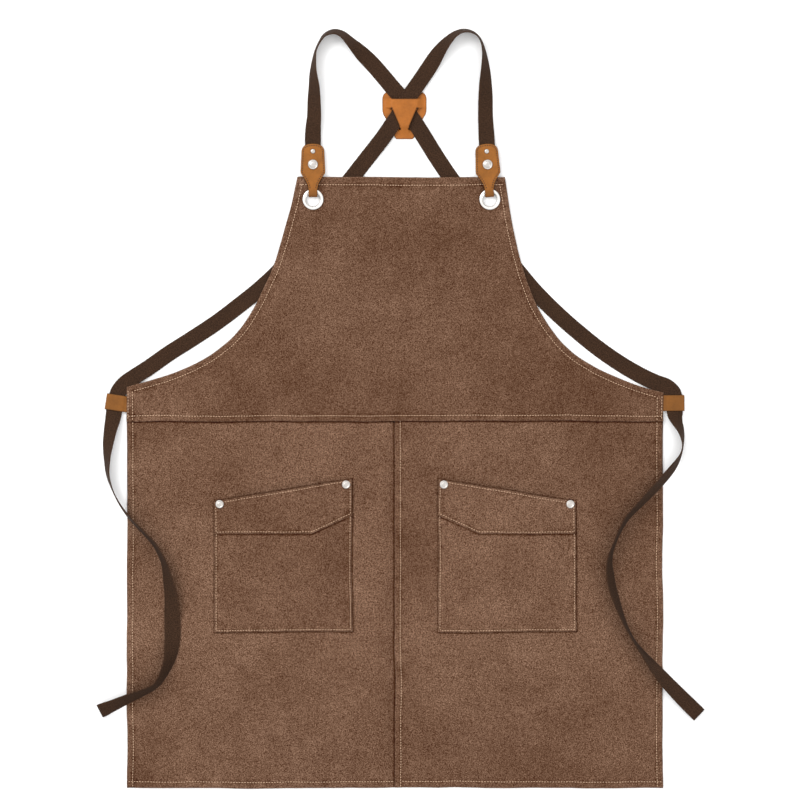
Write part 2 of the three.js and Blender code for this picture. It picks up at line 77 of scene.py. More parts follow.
# Sizes in millimetres, the same as the frame's own.
SKIRT_HALF = 335.0
SKIRT_BOTTOM = -402.5
WAIST = 56.0
WAIST_LAP = 8.5
CENTRE_LAP = 9.0
BIB_TOP = 361.0
BIB_HALF = 130.0
BIB_LEAN = 8.0
ARMHOLE_END = {LEFT: 98.0, RIGHT: 92.0}
GROMMET = {LEFT: (-102.4, 333.0), RIGHT: (118.4, 333.0)}
TAB_TURN = {LEFT: 0.0, RIGHT: 3.8}
TAB_LENGTH, TAB_WIDTH, NECK, FOLD = 69.5, 31.0, 11.2, 6.0
SNAP_Y, TAB_RIVET_Y = 43.4, 59.9
LEATHER = 1.3
POCKET_WIDTH, POCKET_CENTRE = 172.0, 140.0
POCKET_BOTTOM, POCKET_INNER, POCKET_OUTER = -207.0, -16.0, -44.0
POCKET_MARGIN, POCKET_RISE = 0.0525, 0.253
KNEE, FACING_OUTER, FACING_INNER = 50.0, -84.5, -62.5
RIVETS = {"inner": (7.0, 7.0), "outer": (7.0, 3.5)}
KEEPER = (11.75, 438.4)
LOOP_Y = {LEFT: 77.0, RIGHT: 78.6}
LOOP_TURN = {LEFT: -9.0, RIGHT: 0.5}
WEBBING, WEBBING_WIDTH = 1.5, 20.0

# How far each seam's stitches stand in from the edge, and how wide the turned hems are.
SIDE_SEAM, HEM_SEAM, NECK_SEAM, ARM_SEAM, WAIST_SEAM = 7.6, 8.0, 9.8, 7.4, 6.8
POCKET_SEAM, FACING_SEAM, CENTRE_SEAM = 2.2, 2.3, 7.2
BOTTOM_HEM, SIDE_HEM, CENTRE_HEM, NECK_HEM, ARM_HEM, WAIST_HEM = 9.5, 9.0, 8.6, 10.5, 9.0, 8.4
BAG_THICK, CANVAS_THICK = 1.1, 1.05

# Heights of the layers above the table.
TABLE, ON_SKIRT, ON_KEEPER, OVER_STRAP, IN_LOOP = 0.1, 3.4, 1.7, 3.5, 1.7
IN_TAB = 4.3
HEAD_TOP, TONGUE_UNDER = 7.4, 0.9
SKIRT_FACE, BIB_FACE, BIB_UNDER, BAG_FACE, FACING_FACE = 2.7, 4.3, 3.32, 4.45, 5.6

# Profiles of the round metal, from the middle outwards or round the ring: radius, height.
CORE = 0.02
FLANGE = [(8.75, 2.5), (9.4, 2.5), (9.4, 4.75), (12.7, 4.72), (13, 4.85), (12.97, 5.25),
          (12.7, 5.58), (12.1, 5.74), (11.3, 5.81), (10.4, 5.8), (9.85, 5.66), (9.65, 5.3),
          (9.58, 4.9), (9.46, 4.85), (9.36, 5.3), (9.1, 5.42), (8.85, 5.2), (8.75, 4.6),
          (8.75, 2.5)]
RIVET_CAP = [(CORE, 1.2), (1.5, 1.2), (1.5, 5.95), (4.9, 5.95), (5.2, 6.1), (5.2, 6.5),
             (4.95, 6.95), (4.4, 7.15), (3.9, 7.1), (3.45, 6.75), (3.15, 6.7), (2.6, 7.0),
             (1.4, 7.2), (CORE, 7.24)]
SNAP_TOP = [(CORE, 4.9), (1.6, 4.9), (1.6, 7.6), (5.9, 7.6), (6.25, 7.75), (6.25, 8.2),
            (6.05, 8.7), (5.6, 9.0), (5.1, 9.0), (4.8, 8.8), (4.55, 8.85), (3.9, 9.4),
            (2.6, 9.8), (1.3, 9.97), (CORE, 10.0)]
TAB_STUD = [(CORE, 3.5), (1.2, 3.5), (1.2, 7.6), (2.8, 7.6), (3.0, 7.75), (2.95, 8.15),
            (2.6, 8.6), (1.9, 8.9), (0.9, 9.0), (CORE, 9.02)]
HIDDEN_METAL = ("snap_", "tab_burr", "tab_rivet", "pocket_burr", "grommet_washer")

# The canvas of each panel: where its pattern is cut from, and how light it is, partly its own tone
# and partly painted light.
SKIRT_CUT = {LEFT: ((-0.31, 0.2, 0.0), 1.12), RIGHT: ((0.31, 0.2, 0.0), 1.02)}
BIB_CUT = ((0.0, 0.57, 0.0), 0.91)
POCKET_CUT = {LEFT: ((0.7, -0.13, 0.0), 1.04), RIGHT: ((0.7, 0.13, 0.0), 1.14)}

# The middle of what the camera sees, in metres.
CAMERA_X, CAMERA_Y = 0.00625, 0.0825

# Soft lights: name, place in metres, size in metres, power in watts.
LAMPS = [("softbox_left", (-1.5, 1.4, 1.9), 1.2, 32), ("softbox_right", (1.9, -0.4, 2.2), 1.5, 9),
         ("softbox_head", (0.1, 2.0, 2.0), 1.2, 5)]

# Webbing routes: x, y, tilt in degrees, height of what the low edge rests on.
SHOULDER = {
    LEFT: [
        (-102.4, 386, 0, IN_TAB), (-102.4, 395, 0, IN_TAB), (-102.4, 404.3, 0, IN_TAB),
        (-102.5, 412, 0, 2.6), (-102, 424, -16, 1.2), (-101, 436, -26, 0.4),
        (-101, 456, -34, TABLE), (-101, 474, -47, TABLE), (-102, 490, -63, TABLE),
        (-101, 506, -76, TABLE), (-99, 518, -84, TABLE), (-94, 529, -82, TABLE),
        (-87, 538, -74, TABLE), (-76, 542, -66, TABLE), (-66, 539, -62, TABLE),
        (-57, 531, -53, TABLE), (-50, 524, -40, TABLE), (-41, 515, -18, TABLE),
        (-28, 502, 0, TABLE), (-15, 487, 0, 0.9), (-5, 475, 0, ON_KEEPER),
        (9, 458, 0, ON_KEEPER), (16.5, 442, 0, ON_KEEPER), (27, 426, 0, ON_KEEPER),
        (37, 410, 0, ON_KEEPER), (50, 389, 0, 0.6), (66, 365, 0, TABLE),
        (90, 331, 0, TABLE), (114, 297, 0, TABLE), (137, 265, 0, TABLE),
        (158, 238, 0, TABLE), (176, 217, 0, TABLE), (202, 191, 0, TABLE),
        (228, 168, 0, TABLE), (256, 145.5, 0, TABLE), (283, 127, 0, TABLE),
        (308, 112.6, 0, 0.7), (326, 104.2, 0, 1.2), (339.5, 99, 0, IN_LOOP),
        (347.6, 91, 0, IN_LOOP), (349.4, 82, 0, IN_LOOP), (349.5, 75.4, 0, IN_LOOP),
    ],
    RIGHT: [
        (115.2, 386, 0, IN_TAB), (115, 395, 0, IN_TAB), (114.7, 404.2, 0, IN_TAB),
        (114.2, 412, 3, 2.6), (113.6, 424, 14, 1.2), (113, 436, 20, 0.4),
        (113, 460, 24, TABLE), (113, 478, 38, TABLE), (113, 492, 52, TABLE),
        (112.5, 505, 65, TABLE), (111, 518, 77, TABLE), (108, 529, 83, TABLE),
        (103, 537, 82, TABLE), (95, 542, 77, TABLE), (85, 543, 72, TABLE),
        (75, 539, 65, TABLE), (67, 532, 55, TABLE), (59, 523, 41, TABLE),
        (52, 513, 24, TABLE), (44, 500, 4, 1.4), (34, 485, 0, 2.8),
        (24.3, 471, 0, OVER_STRAP), (15.5, 458, 0, OVER_STRAP), (7, 442, 0, OVER_STRAP),
        (-4, 426, 0, OVER_STRAP), (-15, 410, 0, 2.6), (-33, 387, 0, 0.6),
        (-51, 364, 0, TABLE), (-75, 333, 0, TABLE), (-99, 302, 0, TABLE),
        (-122, 271, 0, TABLE), (-144, 245, 0, TABLE), (-166, 224, 0, TABLE),
        (-193, 202, 0, TABLE), (-222, 180, 0, TABLE), (-252, 160, 0, TABLE),
        (-282, 141, 0, TABLE), (-309, 122, 0, 0.8), (-327, 110.5, 0, 1.2),
        (-339.5, 101, 0, IN_LOOP), (-346.3, 91, 0, IN_LOOP), (-349.1, 79, 0, IN_LOOP),
        (-350.4, 75.4, 0, IN_LOOP),
    ],
}
TIE = {
    LEFT: [
        (-350.4, 75, 0, IN_LOOP), (-351.1, 67, 0, IN_LOOP), (-352.4, 58, 14, 1.2),
        (-355, 46, 30, 0.5), (-358, 27, 46, TABLE), (-359, 9, 63, TABLE), (-358, -11, 76, TABLE),
        (-352, -30, 85, 1.2), (-342, -49, 82, 3.4), (-330, -65, 78, ON_SKIRT),
        (-312, -84, 76, ON_SKIRT), (-300, -97, 72, ON_SKIRT), (-293, -109, 70, ON_SKIRT),
        (-287, -123, 65, ON_SKIRT), (-283, -141, 50, ON_SKIRT), (-279, -165, 30, ON_SKIRT),
        (-278, -190, 4, ON_SKIRT), (-278, -217, -13, ON_SKIRT), (-281, -240, -46, ON_SKIRT),
        (-288, -258, -61, ON_SKIRT), (-298, -273, -70, ON_SKIRT),
        (-312, -281, -64, ON_SKIRT), (-331, -289, -54, ON_SKIRT),
        (-355, -300, -38, 2.6), (-368.5, -306, -24, 1.4),
    ],
    RIGHT: [
        (349.5, 75, 0, IN_LOOP), (349.5, 67, 0, IN_LOOP), (350.2, 61, -24, 1.2),
        (352.4, 54.5, -46, 0.7), (356, 46, -60, 0.3), (358.5, 36, -74, TABLE),
        (359, 26, -84, TABLE), (356.5, 15, -82, 0.6), (350, 3, -66, 1.8), (340, -10, -58, 3.2),
        (322, -30, -58, ON_SKIRT), (305, -48, -66, ON_SKIRT), (290, -64, -70, ON_SKIRT),
        (281, -79, -75, ON_SKIRT), (274, -95, -78, ON_SKIRT), (269, -109, -72, ON_SKIRT),
        (267, -122, -65, ON_SKIRT), (268, -134, -58, ON_SKIRT),
        (270.5, -150, -57, ON_SKIRT), (277, -171, -63, ON_SKIRT),
        (286, -195, -76, ON_SKIRT), (298, -218, -82, ON_SKIRT),
        (312, -237, -68, ON_SKIRT), (329, -258, -42, ON_SKIRT), (350, -281, -26, 2.4),
        (380, -311, -12, 1.0),
    ],
}


# ---------- Settings a user would change ----------
class ApronCloth(bpy.types.PropertyGroup):
    canvas: bpy.props.FloatVectorProperty(
        name="Canvas", description="Colour of the canvas", subtype="COLOR", size=3,
        min=0, max=1, default=(0.112, 0.0565, 0.0325))
    webbing: bpy.props.FloatVectorProperty(
        name="Webbing", description="Colour of the straps", subtype="COLOR", size=3,
        min=0, max=1, default=(0.034, 0.0172, 0.0096))
    thread: bpy.props.FloatVectorProperty(
        name="Thread", description="Colour of the topstitching", subtype="COLOR", size=3,
        min=0, max=1, default=(0.52, 0.34, 0.22))
    stitch: bpy.props.FloatProperty(
        name="Stitch pitch", description="Length of one stitch and its gap",
        default=0.0034, min=0.002, max=0.008, unit="LENGTH")
    pucker: bpy.props.FloatProperty(
        name="Pucker", description="Height of the puckers along the seams",
        default=0.0005, min=0, max=0.001, unit="LENGTH")
    wave: bpy.props.FloatProperty(
        name="Wave", description="Height of the slow waves in the cloth",
        default=0.00045, min=0, max=0.0006, unit="LENGTH")
    bulge: bpy.props.FloatProperty(
        name="Pocket bulge", description="How far the pocket mouths stand open",
        default=0.0046, min=0.001, max=0.005, unit="LENGTH")


class ApronTrim(bpy.types.PropertyGroup):
    tab: bpy.props.FloatVectorProperty(
        name="Tab leather", description="Colour of the strap tabs", subtype="COLOR", size=3,
        min=0, max=1, default=(0.245, 0.088, 0.0145))
    keeper: bpy.props.FloatVectorProperty(
        name="Keeper leather", description="Colour of the cross keeper", subtype="COLOR",
        size=3, min=0, max=1, default=(0.33, 0.107, 0.0175))
    loop: bpy.props.FloatVectorProperty(
        name="Loop leather", description="Colour of the side loops", subtype="COLOR", size=3,
        min=0, max=1, default=(0.182, 0.0675, 0.0115))
    nickel: bpy.props.FloatVectorProperty(
        name="Nickel", description="Colour of the rivets, snaps and grommets",
        subtype="COLOR", size=3, min=0, max=1, default=(0.52, 0.49, 0.46))
    segments: bpy.props.IntProperty(
        name="Segments", description="Steps around each round metal piece",
        default=40, min=16, max=96)


class ApronStage(bpy.types.PropertyGroup):
    camera_height: bpy.props.FloatProperty(
        name="Camera height", description="Height of the camera over the table",
        default=4.0, min=1, max=20, unit="LENGTH")
    lens: bpy.props.FloatProperty(
        name="Lens", description="Focal length of the camera", default=144, min=20, max=400,
        unit="CAMERA")
    daylight: bpy.props.FloatProperty(
        name="Surround", description="Strength of the white surround", default=1.09, min=0,
        max=4)


# ---------- Finishes ----------
class Wiring:
    """Places nodes in a tree and joins them."""

    def __init__(self, tree):
        self.tree = tree

    def node(self, kind, **values):
        made = self.tree.nodes.new(kind)
        inputs = values.pop("inputs", {})
        for key, value in values.items():
            setattr(made, key, value)
        for key, value in inputs.items():
            if isinstance(value, bpy.types.NodeSocket):
                self.tree.links.new(value, made.inputs[key])
            else:
                made.inputs[key].default_value = value
        return made

    def math(self, operation, a, b=0.0):
        return self.node("ShaderNodeMath", operation=operation,
                         inputs={0: a, 1: b}).outputs[0]

    def spread(self, value, low, high, to_low, to_high):
        """The value, mapped from one range to another and held inside it."""
        return self.node("ShaderNodeMapRange", inputs={
            "Value": value, "From Min": low, "From Max": high,
            "To Min": to_low, "To Max": to_high}).outputs["Result"]

    def noise(self, vector, scale, detail=2.0, roughness=0.5):
        return self.node("ShaderNodeTexNoise", inputs={
            "Vector": vector, "Scale": scale, "Detail": detail,
            "Roughness": roughness}).outputs["Fac"]

    def times(self, *values):
        product = values[0]
        for value in values[1:]:
            product = self.math("MULTIPLY", product, value)
        return product

    def mapped(self, vector, **values):
        return self.node("ShaderNodeMapping", inputs={"Vector": vector, **values}).outputs[0]

    def scaled(self, colour, factor, extra=(0.0, 0.0, 0.0)):
        """The colour times the factor, whose swing may be larger in some channels."""
        swing = self.math("SUBTRACT", factor, 1.0)
        parts = self.node("ShaderNodeCombineXYZ")
        for k, more in enumerate(extra):
            channel = self.math("ADD", factor, self.times(swing, more))
            self.tree.links.new(self.math("MAXIMUM", channel, 0.05), parts.inputs[k])
        return self.node("ShaderNodeVectorMath", operation="MULTIPLY",
                         inputs={0: colour, 1: parts.outputs[0]}).outputs["Vector"]


def new_group(name, inputs, outputs):
    """A shader node group that takes a vector and the inputs, with its wiring and its ends."""
    group = bpy.data.node_groups.new(name, "ShaderNodeTree")
    group.interface.new_socket(name="Vector", in_out="INPUT", socket_type="NodeSocketVector")
    for label, value in inputs.items():
        made = group.interface.new_socket(name=label, in_out="INPUT",
                                          socket_type="NodeSocketFloat")
        made.default_value = value
    for label in outputs:
        group.interface.new_socket(name=label, in_out="OUTPUT", socket_type="NodeSocketFloat")
    w = Wiring(group)
    return group, w, w.node("NodeGroupInput").outputs, w.node("NodeGroupOutput").inputs


def weave_group():
    """Two crossing sets of yarns: an over-and-under height and a shade for each yarn."""
    group, w, given, out = new_group(
        "plain_weave", {"Yarns per metre": 900.0, "Unevenness": 0.4}, ("Height", "Shade"))
    place = given["Vector"]
    wobble = w.noise(place, 260.0, 1.0)
    lean = w.times(w.math("SUBTRACT", wobble, 0.5), given["Unevenness"])
    split = w.node("ShaderNodeSeparateXYZ", inputs={"Vector": place})
    waves = []
    for axis in ("X", "Y"):
        turns = w.math("ADD", w.times(split.outputs[axis], given["Yarns per metre"]), lean)
        waves.append(w.math("SINE", w.times(turns, math.pi)))
    ribs = w.math("ADD", w.math("ABSOLUTE", waves[0]), w.math("ABSOLUTE", waves[1]))
    height = w.math("ADD", w.times(*waves, 0.35), w.times(ribs, 0.35))
    slubs = w.math("ADD", *(w.noise(w.mapped(place, Scale=stretch), 900.0, 1.0)
                            for stretch in ((1.0, 0.16, 1.0), (0.16, 1.0, 1.0))))
    w.tree.links.new(w.math("ADD", height, w.times(slubs, 0.4)), out["Height"])
    w.tree.links.new(w.times(slubs, 0.5), out["Shade"])
    return group


def cloud_group():
    """Slow patches, as in washed or scuffed cloth and leather."""
    group, w, given, out = new_group("cloudy_patches", {"Size per metre": 10.0}, ("Patch",))
    size = given["Size per metre"]
    slow = w.noise(given["Vector"], size, 3.0, 0.6)
    quick = w.noise(given["Vector"], w.times(size, 5.0), 3.0, 0.6)
    w.tree.links.new(w.math("ADD", w.times(slow, 0.65), w.times(quick, 0.35)), out["Patch"])
    return group


def grain_group():
    """Pebbled leather grain with fine pores."""
    group, w, given, out = new_group("leather_grain", {"Cells per metre": 900.0}, ("Height",))
    cells = w.node("ShaderNodeTexVoronoi", feature="DISTANCE_TO_EDGE", inputs={
        "Vector": given["Vector"], "Scale": given["Cells per metre"]})
    pores = w.noise(given["Vector"], 2600.0, 2.0)
    pebbles = w.spread(cells.outputs["Distance"], 0.0, 0.18, 0.0, 1.0)
    w.tree.links.new(w.math("ADD", pebbles, w.times(pores, 0.5)), out["Height"])
    return group


def new_finish(name):
    material = bpy.data.materials.new(name)
    material.use_nodes = True
    tree = material.node_tree
    return material, Wiring(tree), tree.nodes["Principled BSDF"]


def grouped(w, name, maker, **inputs):
    """A shared node group placed with its own values."""
    made = w.node("ShaderNodeGroup", node_tree=bpy.data.node_groups.get(name) or maker(),
                  inputs={key.replace("_", " "): value for key, value in inputs.items()})
    return made.outputs


def coloured(w, shader, colour, shade, extra=(0.0, 0.0, 0.0)):
    """A base colour whose shade changes over the surface."""
    base = w.node("ShaderNodeRGB")
    base.outputs[0].default_value = (*colour, 1.0)
    w.tree.links.new(w.scaled(base.outputs[0], shade, extra), shader.inputs["Base Color"])


def dulled(w, shader, value, low, high, glossy, matt):
    """Roughness that follows a value over the surface."""
    w.tree.links.new(w.spread(value, low, high, glossy, matt), shader.inputs["Roughness"])


def bumped(w, shader, height, distance, strength):
    bump = w.node("ShaderNodeBump", inputs={"Height": height, "Distance": distance,
                                            "Strength": strength})
    w.tree.links.new(bump.outputs["Normal"], shader.inputs["Normal"])


def canvas_finish(name, colour, shift, lift):
    """Matt washed canvas: plain weave, pale and dark flecks, slow patches, lighter hem folds and
    painted shade along seams, stitches and lapped edges.
    """
    material, w, shader = new_finish(name)
    place = w.node("ShaderNodeTexCoord").outputs["Object"]
    moved = w.mapped(place, Location=shift)
    weave = grouped(w, "plain_weave", weave_group, Vector=moved, Yarns_per_metre=1150.0,
                    Unevenness=1.1)
    tilted = w.mapped(moved, Rotation=(0.61, 0.43, 0.3))
    patch = grouped(w, "cloudy_patches", cloud_group, Vector=tilted, Size_per_metre=5.0)
    fleck = w.noise(tilted, 760.0, 1.0, 0.6)
    fine = w.noise(tilted, 1500.0, 1.0, 0.6)
    wool = w.noise(tilted, 170.0, 2.0, 0.6)
    # The weave's height also sets the colour: painted shade in the hollows between yarns.
    shade = w.times(w.spread(patch["Patch"], 0.34, 0.66, 0.75 * lift, 1.28 * lift),
                    w.spread(weave["Height"], 0.15, 1.0, 0.84, 1.16))
    for value, deep in ((fleck, 3.1), (fine, 2.4), (wool, 0.4), (weave["Shade"], 0.5)):
        swing = w.times(w.math("SUBTRACT", value, 0.5), deep)
        shade = w.times(shade, w.math("MAXIMUM", w.math("ADD", swing, 1.0), 0.3))
    # Painted shade along seams, stitches and lapped edges, and lighter hem folds, read from the
    # wear-and-shade mark.
    wear_and_shade = w.node("ShaderNodeAttribute", attribute_name="wear_and_shade").outputs["Fac"]
    wear_and_shade_swing = w.times(w.math("SUBTRACT", wear_and_shade, 0.5), 1.7)
    shade = w.times(shade, w.math("ADD", wear_and_shade_swing, 1.0))
    coloured(w, shader, colour, shade, (0.0, 0.28, 0.55))
    dulled(w, shader, fleck, 0.3, 0.7, 0.86, 0.97)
    bumped(w, shader, w.math("ADD", weave["Height"], w.times(fleck, 1.2)), 0.00025, 0.85)
    shader.inputs["Specular IOR Level"].default_value = 0.06
    shader.inputs["Sheen Weight"].default_value = 0.02
    shader.inputs["Sheen Roughness"].default_value = 0.6
    return material


def webbing_finish(colour):
    """Close cotton webbing: ribs along and picks across, on the strip's own map."""
    material, w, shader = new_finish("webbing")
    place = w.node("ShaderNodeUVMap", uv_map="strip").outputs["UV"]
    slanted = w.mapped(place, Rotation=(0.0, 0.0, math.radians(45)))
    weave = grouped(w, "plain_weave", weave_group, Vector=slanted, Yarns_per_metre=760.0,
                    Unevenness=0.5)
    patch = grouped(w, "cloudy_patches", cloud_group, Vector=place, Size_per_metre=30.0)
    fleck = w.noise(place, 700.0, 1.0)
    across = w.node("ShaderNodeSeparateXYZ", inputs={"Vector": place}).outputs["Y"]
    selvedge = w.spread(w.math("ABSOLUTE", across), 0.0082, 0.0098, 1.0, 1.22)
    # The weave's height also sets the colour: painted shade in the hollows between yarns.
    shade = w.times(w.spread(patch["Patch"], 0.3, 0.7, 0.85, 1.16),
                    w.spread(weave["Height"], 0.2, 1.1, 0.72, 1.24),
                    w.spread(fleck, 0.3, 0.7, 0.55, 1.45), selvedge)
    coloured(w, shader, colour, shade)
    dulled(w, shader, patch["Patch"], 0.3, 0.7, 0.72, 0.9)
    bumped(w, shader, weave["Height"], 0.0003, 0.9)
    shader.inputs["Specular IOR Level"].default_value = 0.06
    shader.inputs["Sheen Weight"].default_value = 0.02
    return material


def leather_finish(name, colour, gloss):
    """Vegetable-tanned leather: grain, cloudy colouring, darker burnished edges, and painted shade
    at the tab folds and the keeper's slit tops.
    """
    material, w, shader = new_finish(name)
    place = w.node("ShaderNodeTexCoord").outputs["Object"]
    grain = grouped(w, "leather_grain", grain_group, Vector=place, Cells_per_metre=950.0)
    patch = grouped(w, "cloudy_patches", cloud_group, Vector=place, Size_per_metre=70.0)
    # Burnished edges darker, and painted shade at the tab folds and keeper slit tops, both from
    # the wear-and-shade mark.
    edge = w.node("ShaderNodeAttribute", attribute_name="wear_and_shade").outputs["Fac"]
    shade = w.times(w.spread(patch["Patch"], 0.36, 0.64, 0.84, 1.14),
                    w.spread(edge, 0.0, 1.5, 1.0, 0.13),
                    w.spread(grain["Height"], 0.2, 1.2, 0.94, 1.03))
    coloured(w, shader, colour, shade)
    dulled(w, shader, patch["Patch"], 0.3, 0.7, gloss - 0.07, gloss + 0.1)
    bumped(w, shader, grain["Height"], 0.00006, 0.6)
    shader.inputs["Specular IOR Level"].default_value = 0.15
    return material


def thread_finish(name, colour):
    """Twisted cotton thread."""
    material, w, shader = new_finish(name)
    twist = w.noise(w.node("ShaderNodeTexCoord").outputs["Object"], 1500.0, 1.0)
    coloured(w, shader, colour, w.spread(twist, 0.3, 0.7, 0.8, 1.15))
    dulled(w, shader, twist, 0.3, 0.7, 0.6, 0.85)
    bumped(w, shader, twist, 0.0002, 0.5)
    return material


def nickel_finish(name, colour):
    """Bright nickel plate with fine rubbing."""
    material, w, shader = new_finish(name)
    rub = w.noise(w.node("ShaderNodeTexCoord").outputs["Object"], 700.0, 3.0)
    coloured(w, shader, colour, w.spread(rub, 0.3, 0.7, 0.9, 1.02))
    dulled(w, shader, rub, 0.3, 0.7, 0.26, 0.42)
    bumped(w, shader, rub, 0.00003, 0.4)
    shader.inputs["Metallic"].default_value = 1.0
    return material


def finish(name, maker, *values):
    """A finish is made once and found again by its name."""
    return bpy.data.materials.get(name) or maker(*values)


def canvas_of(context, name, cut):
    return finish(name, canvas_finish, name, tuple(context.scene.apron_cloth.canvas), *cut)


def thread_of(context):
    return finish("tan_thread", thread_finish, "tan_thread",
                  tuple(context.scene.apron_cloth.thread))


# ---------- Shapes ----------
def smooth(x, low, high):
    t = np.clip((np.asarray(x, float) - low) / (high - low), 0.0, 1.0)
    return t * t * (3.0 - 2.0 * t)


def turned_by(points, degrees, centre=(0.0, 0.0)):
    points = np.asarray(points, float)
    c, s = math.cos(math.radians(degrees)), math.sin(math.radians(degrees))
    x, y = points[..., 0], points[..., 1]
    return np.stack([centre[0] + x * c - y * s, centre[1] + x * s + y * c], axis=-1)


def bezier(a, b, c, d, steps):
    t = np.linspace(0.0, 1.0, steps + 1)[:, None]
    a, b, c, d = (np.asarray(p, float) for p in (a, b, c, d))
    return a * (1 - t) ** 3 + 3 * b * t * (1 - t) ** 2 + 3 * c * t * t * (1 - t) + d * t ** 3


def distances(line):
    """How far along the line each of its points is."""
    return np.concatenate([[0.0], np.cumsum(np.linalg.norm(np.diff(line, axis=0), axis=1))])


def evened(line, step):
    """The same line with points at an even spacing, and the distance along it."""
    line = np.asarray(line, float)
    along = distances(line)
    count = max(2, int(round(along[-1] / step)) + 1)
    at = np.linspace(0.0, along[-1], count)
    return np.stack([np.interp(at, along, line[:, k]) for k in range(line.shape[1])], 1), at


def nearest(points, line, step=1.5):
    """Distance from each point to the line, and how far along it that is."""
    samples, at = evened(line, step)
    points = np.asarray(points, float)
    best = np.full(len(points), 1e9)
    where = np.zeros(len(points))
    for start in range(0, len(points), 4000):
        part = points[start:start + 4000]
        gaps = ((part[:, None, :] - samples[None, :, :]) ** 2).sum(-1)
        k = gaps.argmin(1)
        here = samples[k]
        ahead = samples[np.minimum(k + 1, len(samples) - 1)] - samples[np.maximum(k - 1, 0)]
        ahead /= np.maximum(np.linalg.norm(ahead, axis=1), 1e-9)[:, None]
        off = part - here
        across = np.abs(off[:, 0] * ahead[:, 1] - off[:, 1] * ahead[:, 0])
        inside = (k > 0) & (k < len(samples) - 1)
        best[start:start + 4000] = np.where(inside, across, np.sqrt(gaps.min(1)))
        where[start:start + 4000] = at[k]
    return best, where


def ripples(a, b, seed):
    """Smooth unevenness over two grids of the same shape."""
    found = [noise.noise(Vector((p, q, seed))) for p, q in zip(np.ravel(a), np.ravel(b))]
    return np.reshape(found, np.shape(a))


def deselect():
    if bpy.context.object and bpy.context.object.mode != "OBJECT":
        bpy.ops.object.mode_set(mode="OBJECT")
    bpy.ops.object.select_all(action="DESELECT")


def piece_from(name, points, faces, material, wear_and_shade=None):
    """A mesh piece in millimetres, laid in metres at the origin."""
    mesh = bpy.data.meshes.new(name)
    mesh.from_pydata((np.asarray(points, float) * MM).tolist(), [],
                     [tuple(map(int, f)) for f in faces])
    mesh.validate()
    made = bpy.data.objects.new(name, mesh)
    bpy.context.scene.collection.objects.link(made)
    mesh.materials.append(material)
    mesh.polygons.foreach_set("use_smooth", np.ones(len(mesh.polygons), bool))
    if wear_and_shade is not None:
        store_wear_and_shade(mesh, wear_and_shade)
    return made


def store_wear_and_shade(mesh, wear_and_shade):
    """Marks each point's wear and painted shade, for its finish to read."""
    mark = mesh.attributes.new("wear_and_shade", "FLOAT", "POINT")
    mark.data.foreach_set("value", np.asarray(wear_and_shade, np.float32))


def placed(made, body, slot, *replaced):
    """Puts a finished piece on its body, in place of the frame's own nodes; its slot is not used.
    """
    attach(made, body)
    if replaced:
        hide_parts(*replaced)


def drift(x, y):
    """Slow unevenness of the sewing, the same for every layer at a place."""
    moved = []
    for seed in (7.7, 13.3):
        slow = ripples(x / 62, y / 62, seed)
        quick = ripples(x / 21, y / 21, seed + 3)
        moved.append(1.3 * slow + 0.45 * quick)
    return moved


def shell(name, x, y, top, under, material, wear_and_shade):
    """A closed sheet over a grid of points with an upper and a lower face."""
    rows, cols = x.shape
    dx, dy = drift(x.ravel(), y.ravel())
    x, y = x + dx.reshape(x.shape), y + dy.reshape(y.shape)
    ids = np.arange(rows * cols).reshape(rows, cols)
    a, b = ids[:-1, :-1].ravel(), ids[:-1, 1:].ravel()
    c, d = ids[1:, 1:].ravel(), ids[1:, :-1].ravel()
    low = rows * cols
    faces = np.concatenate([np.stack([a, b, c, d], 1),
                            np.stack([a + low, d + low, c + low, b + low], 1)])
    rim = np.concatenate([ids[0, :-1], ids[:-1, -1], ids[-1, :0:-1], ids[:0:-1, 0]])
    after = np.roll(rim, -1)
    faces = np.concatenate([faces, np.stack([rim, rim + low, after + low, after], 1)])
    points = np.concatenate([np.stack([x.ravel(), y.ravel(), face.ravel()], 1)
                             for face in (top, under)])
    if (x[0, 1] - x[0, 0]) * (y[1, 0] - y[0, 0]) < 0:
        faces = faces[:, ::-1]
    return piece_from(name, points, faces, material, np.concatenate([wear_and_shade.ravel()] * 2))


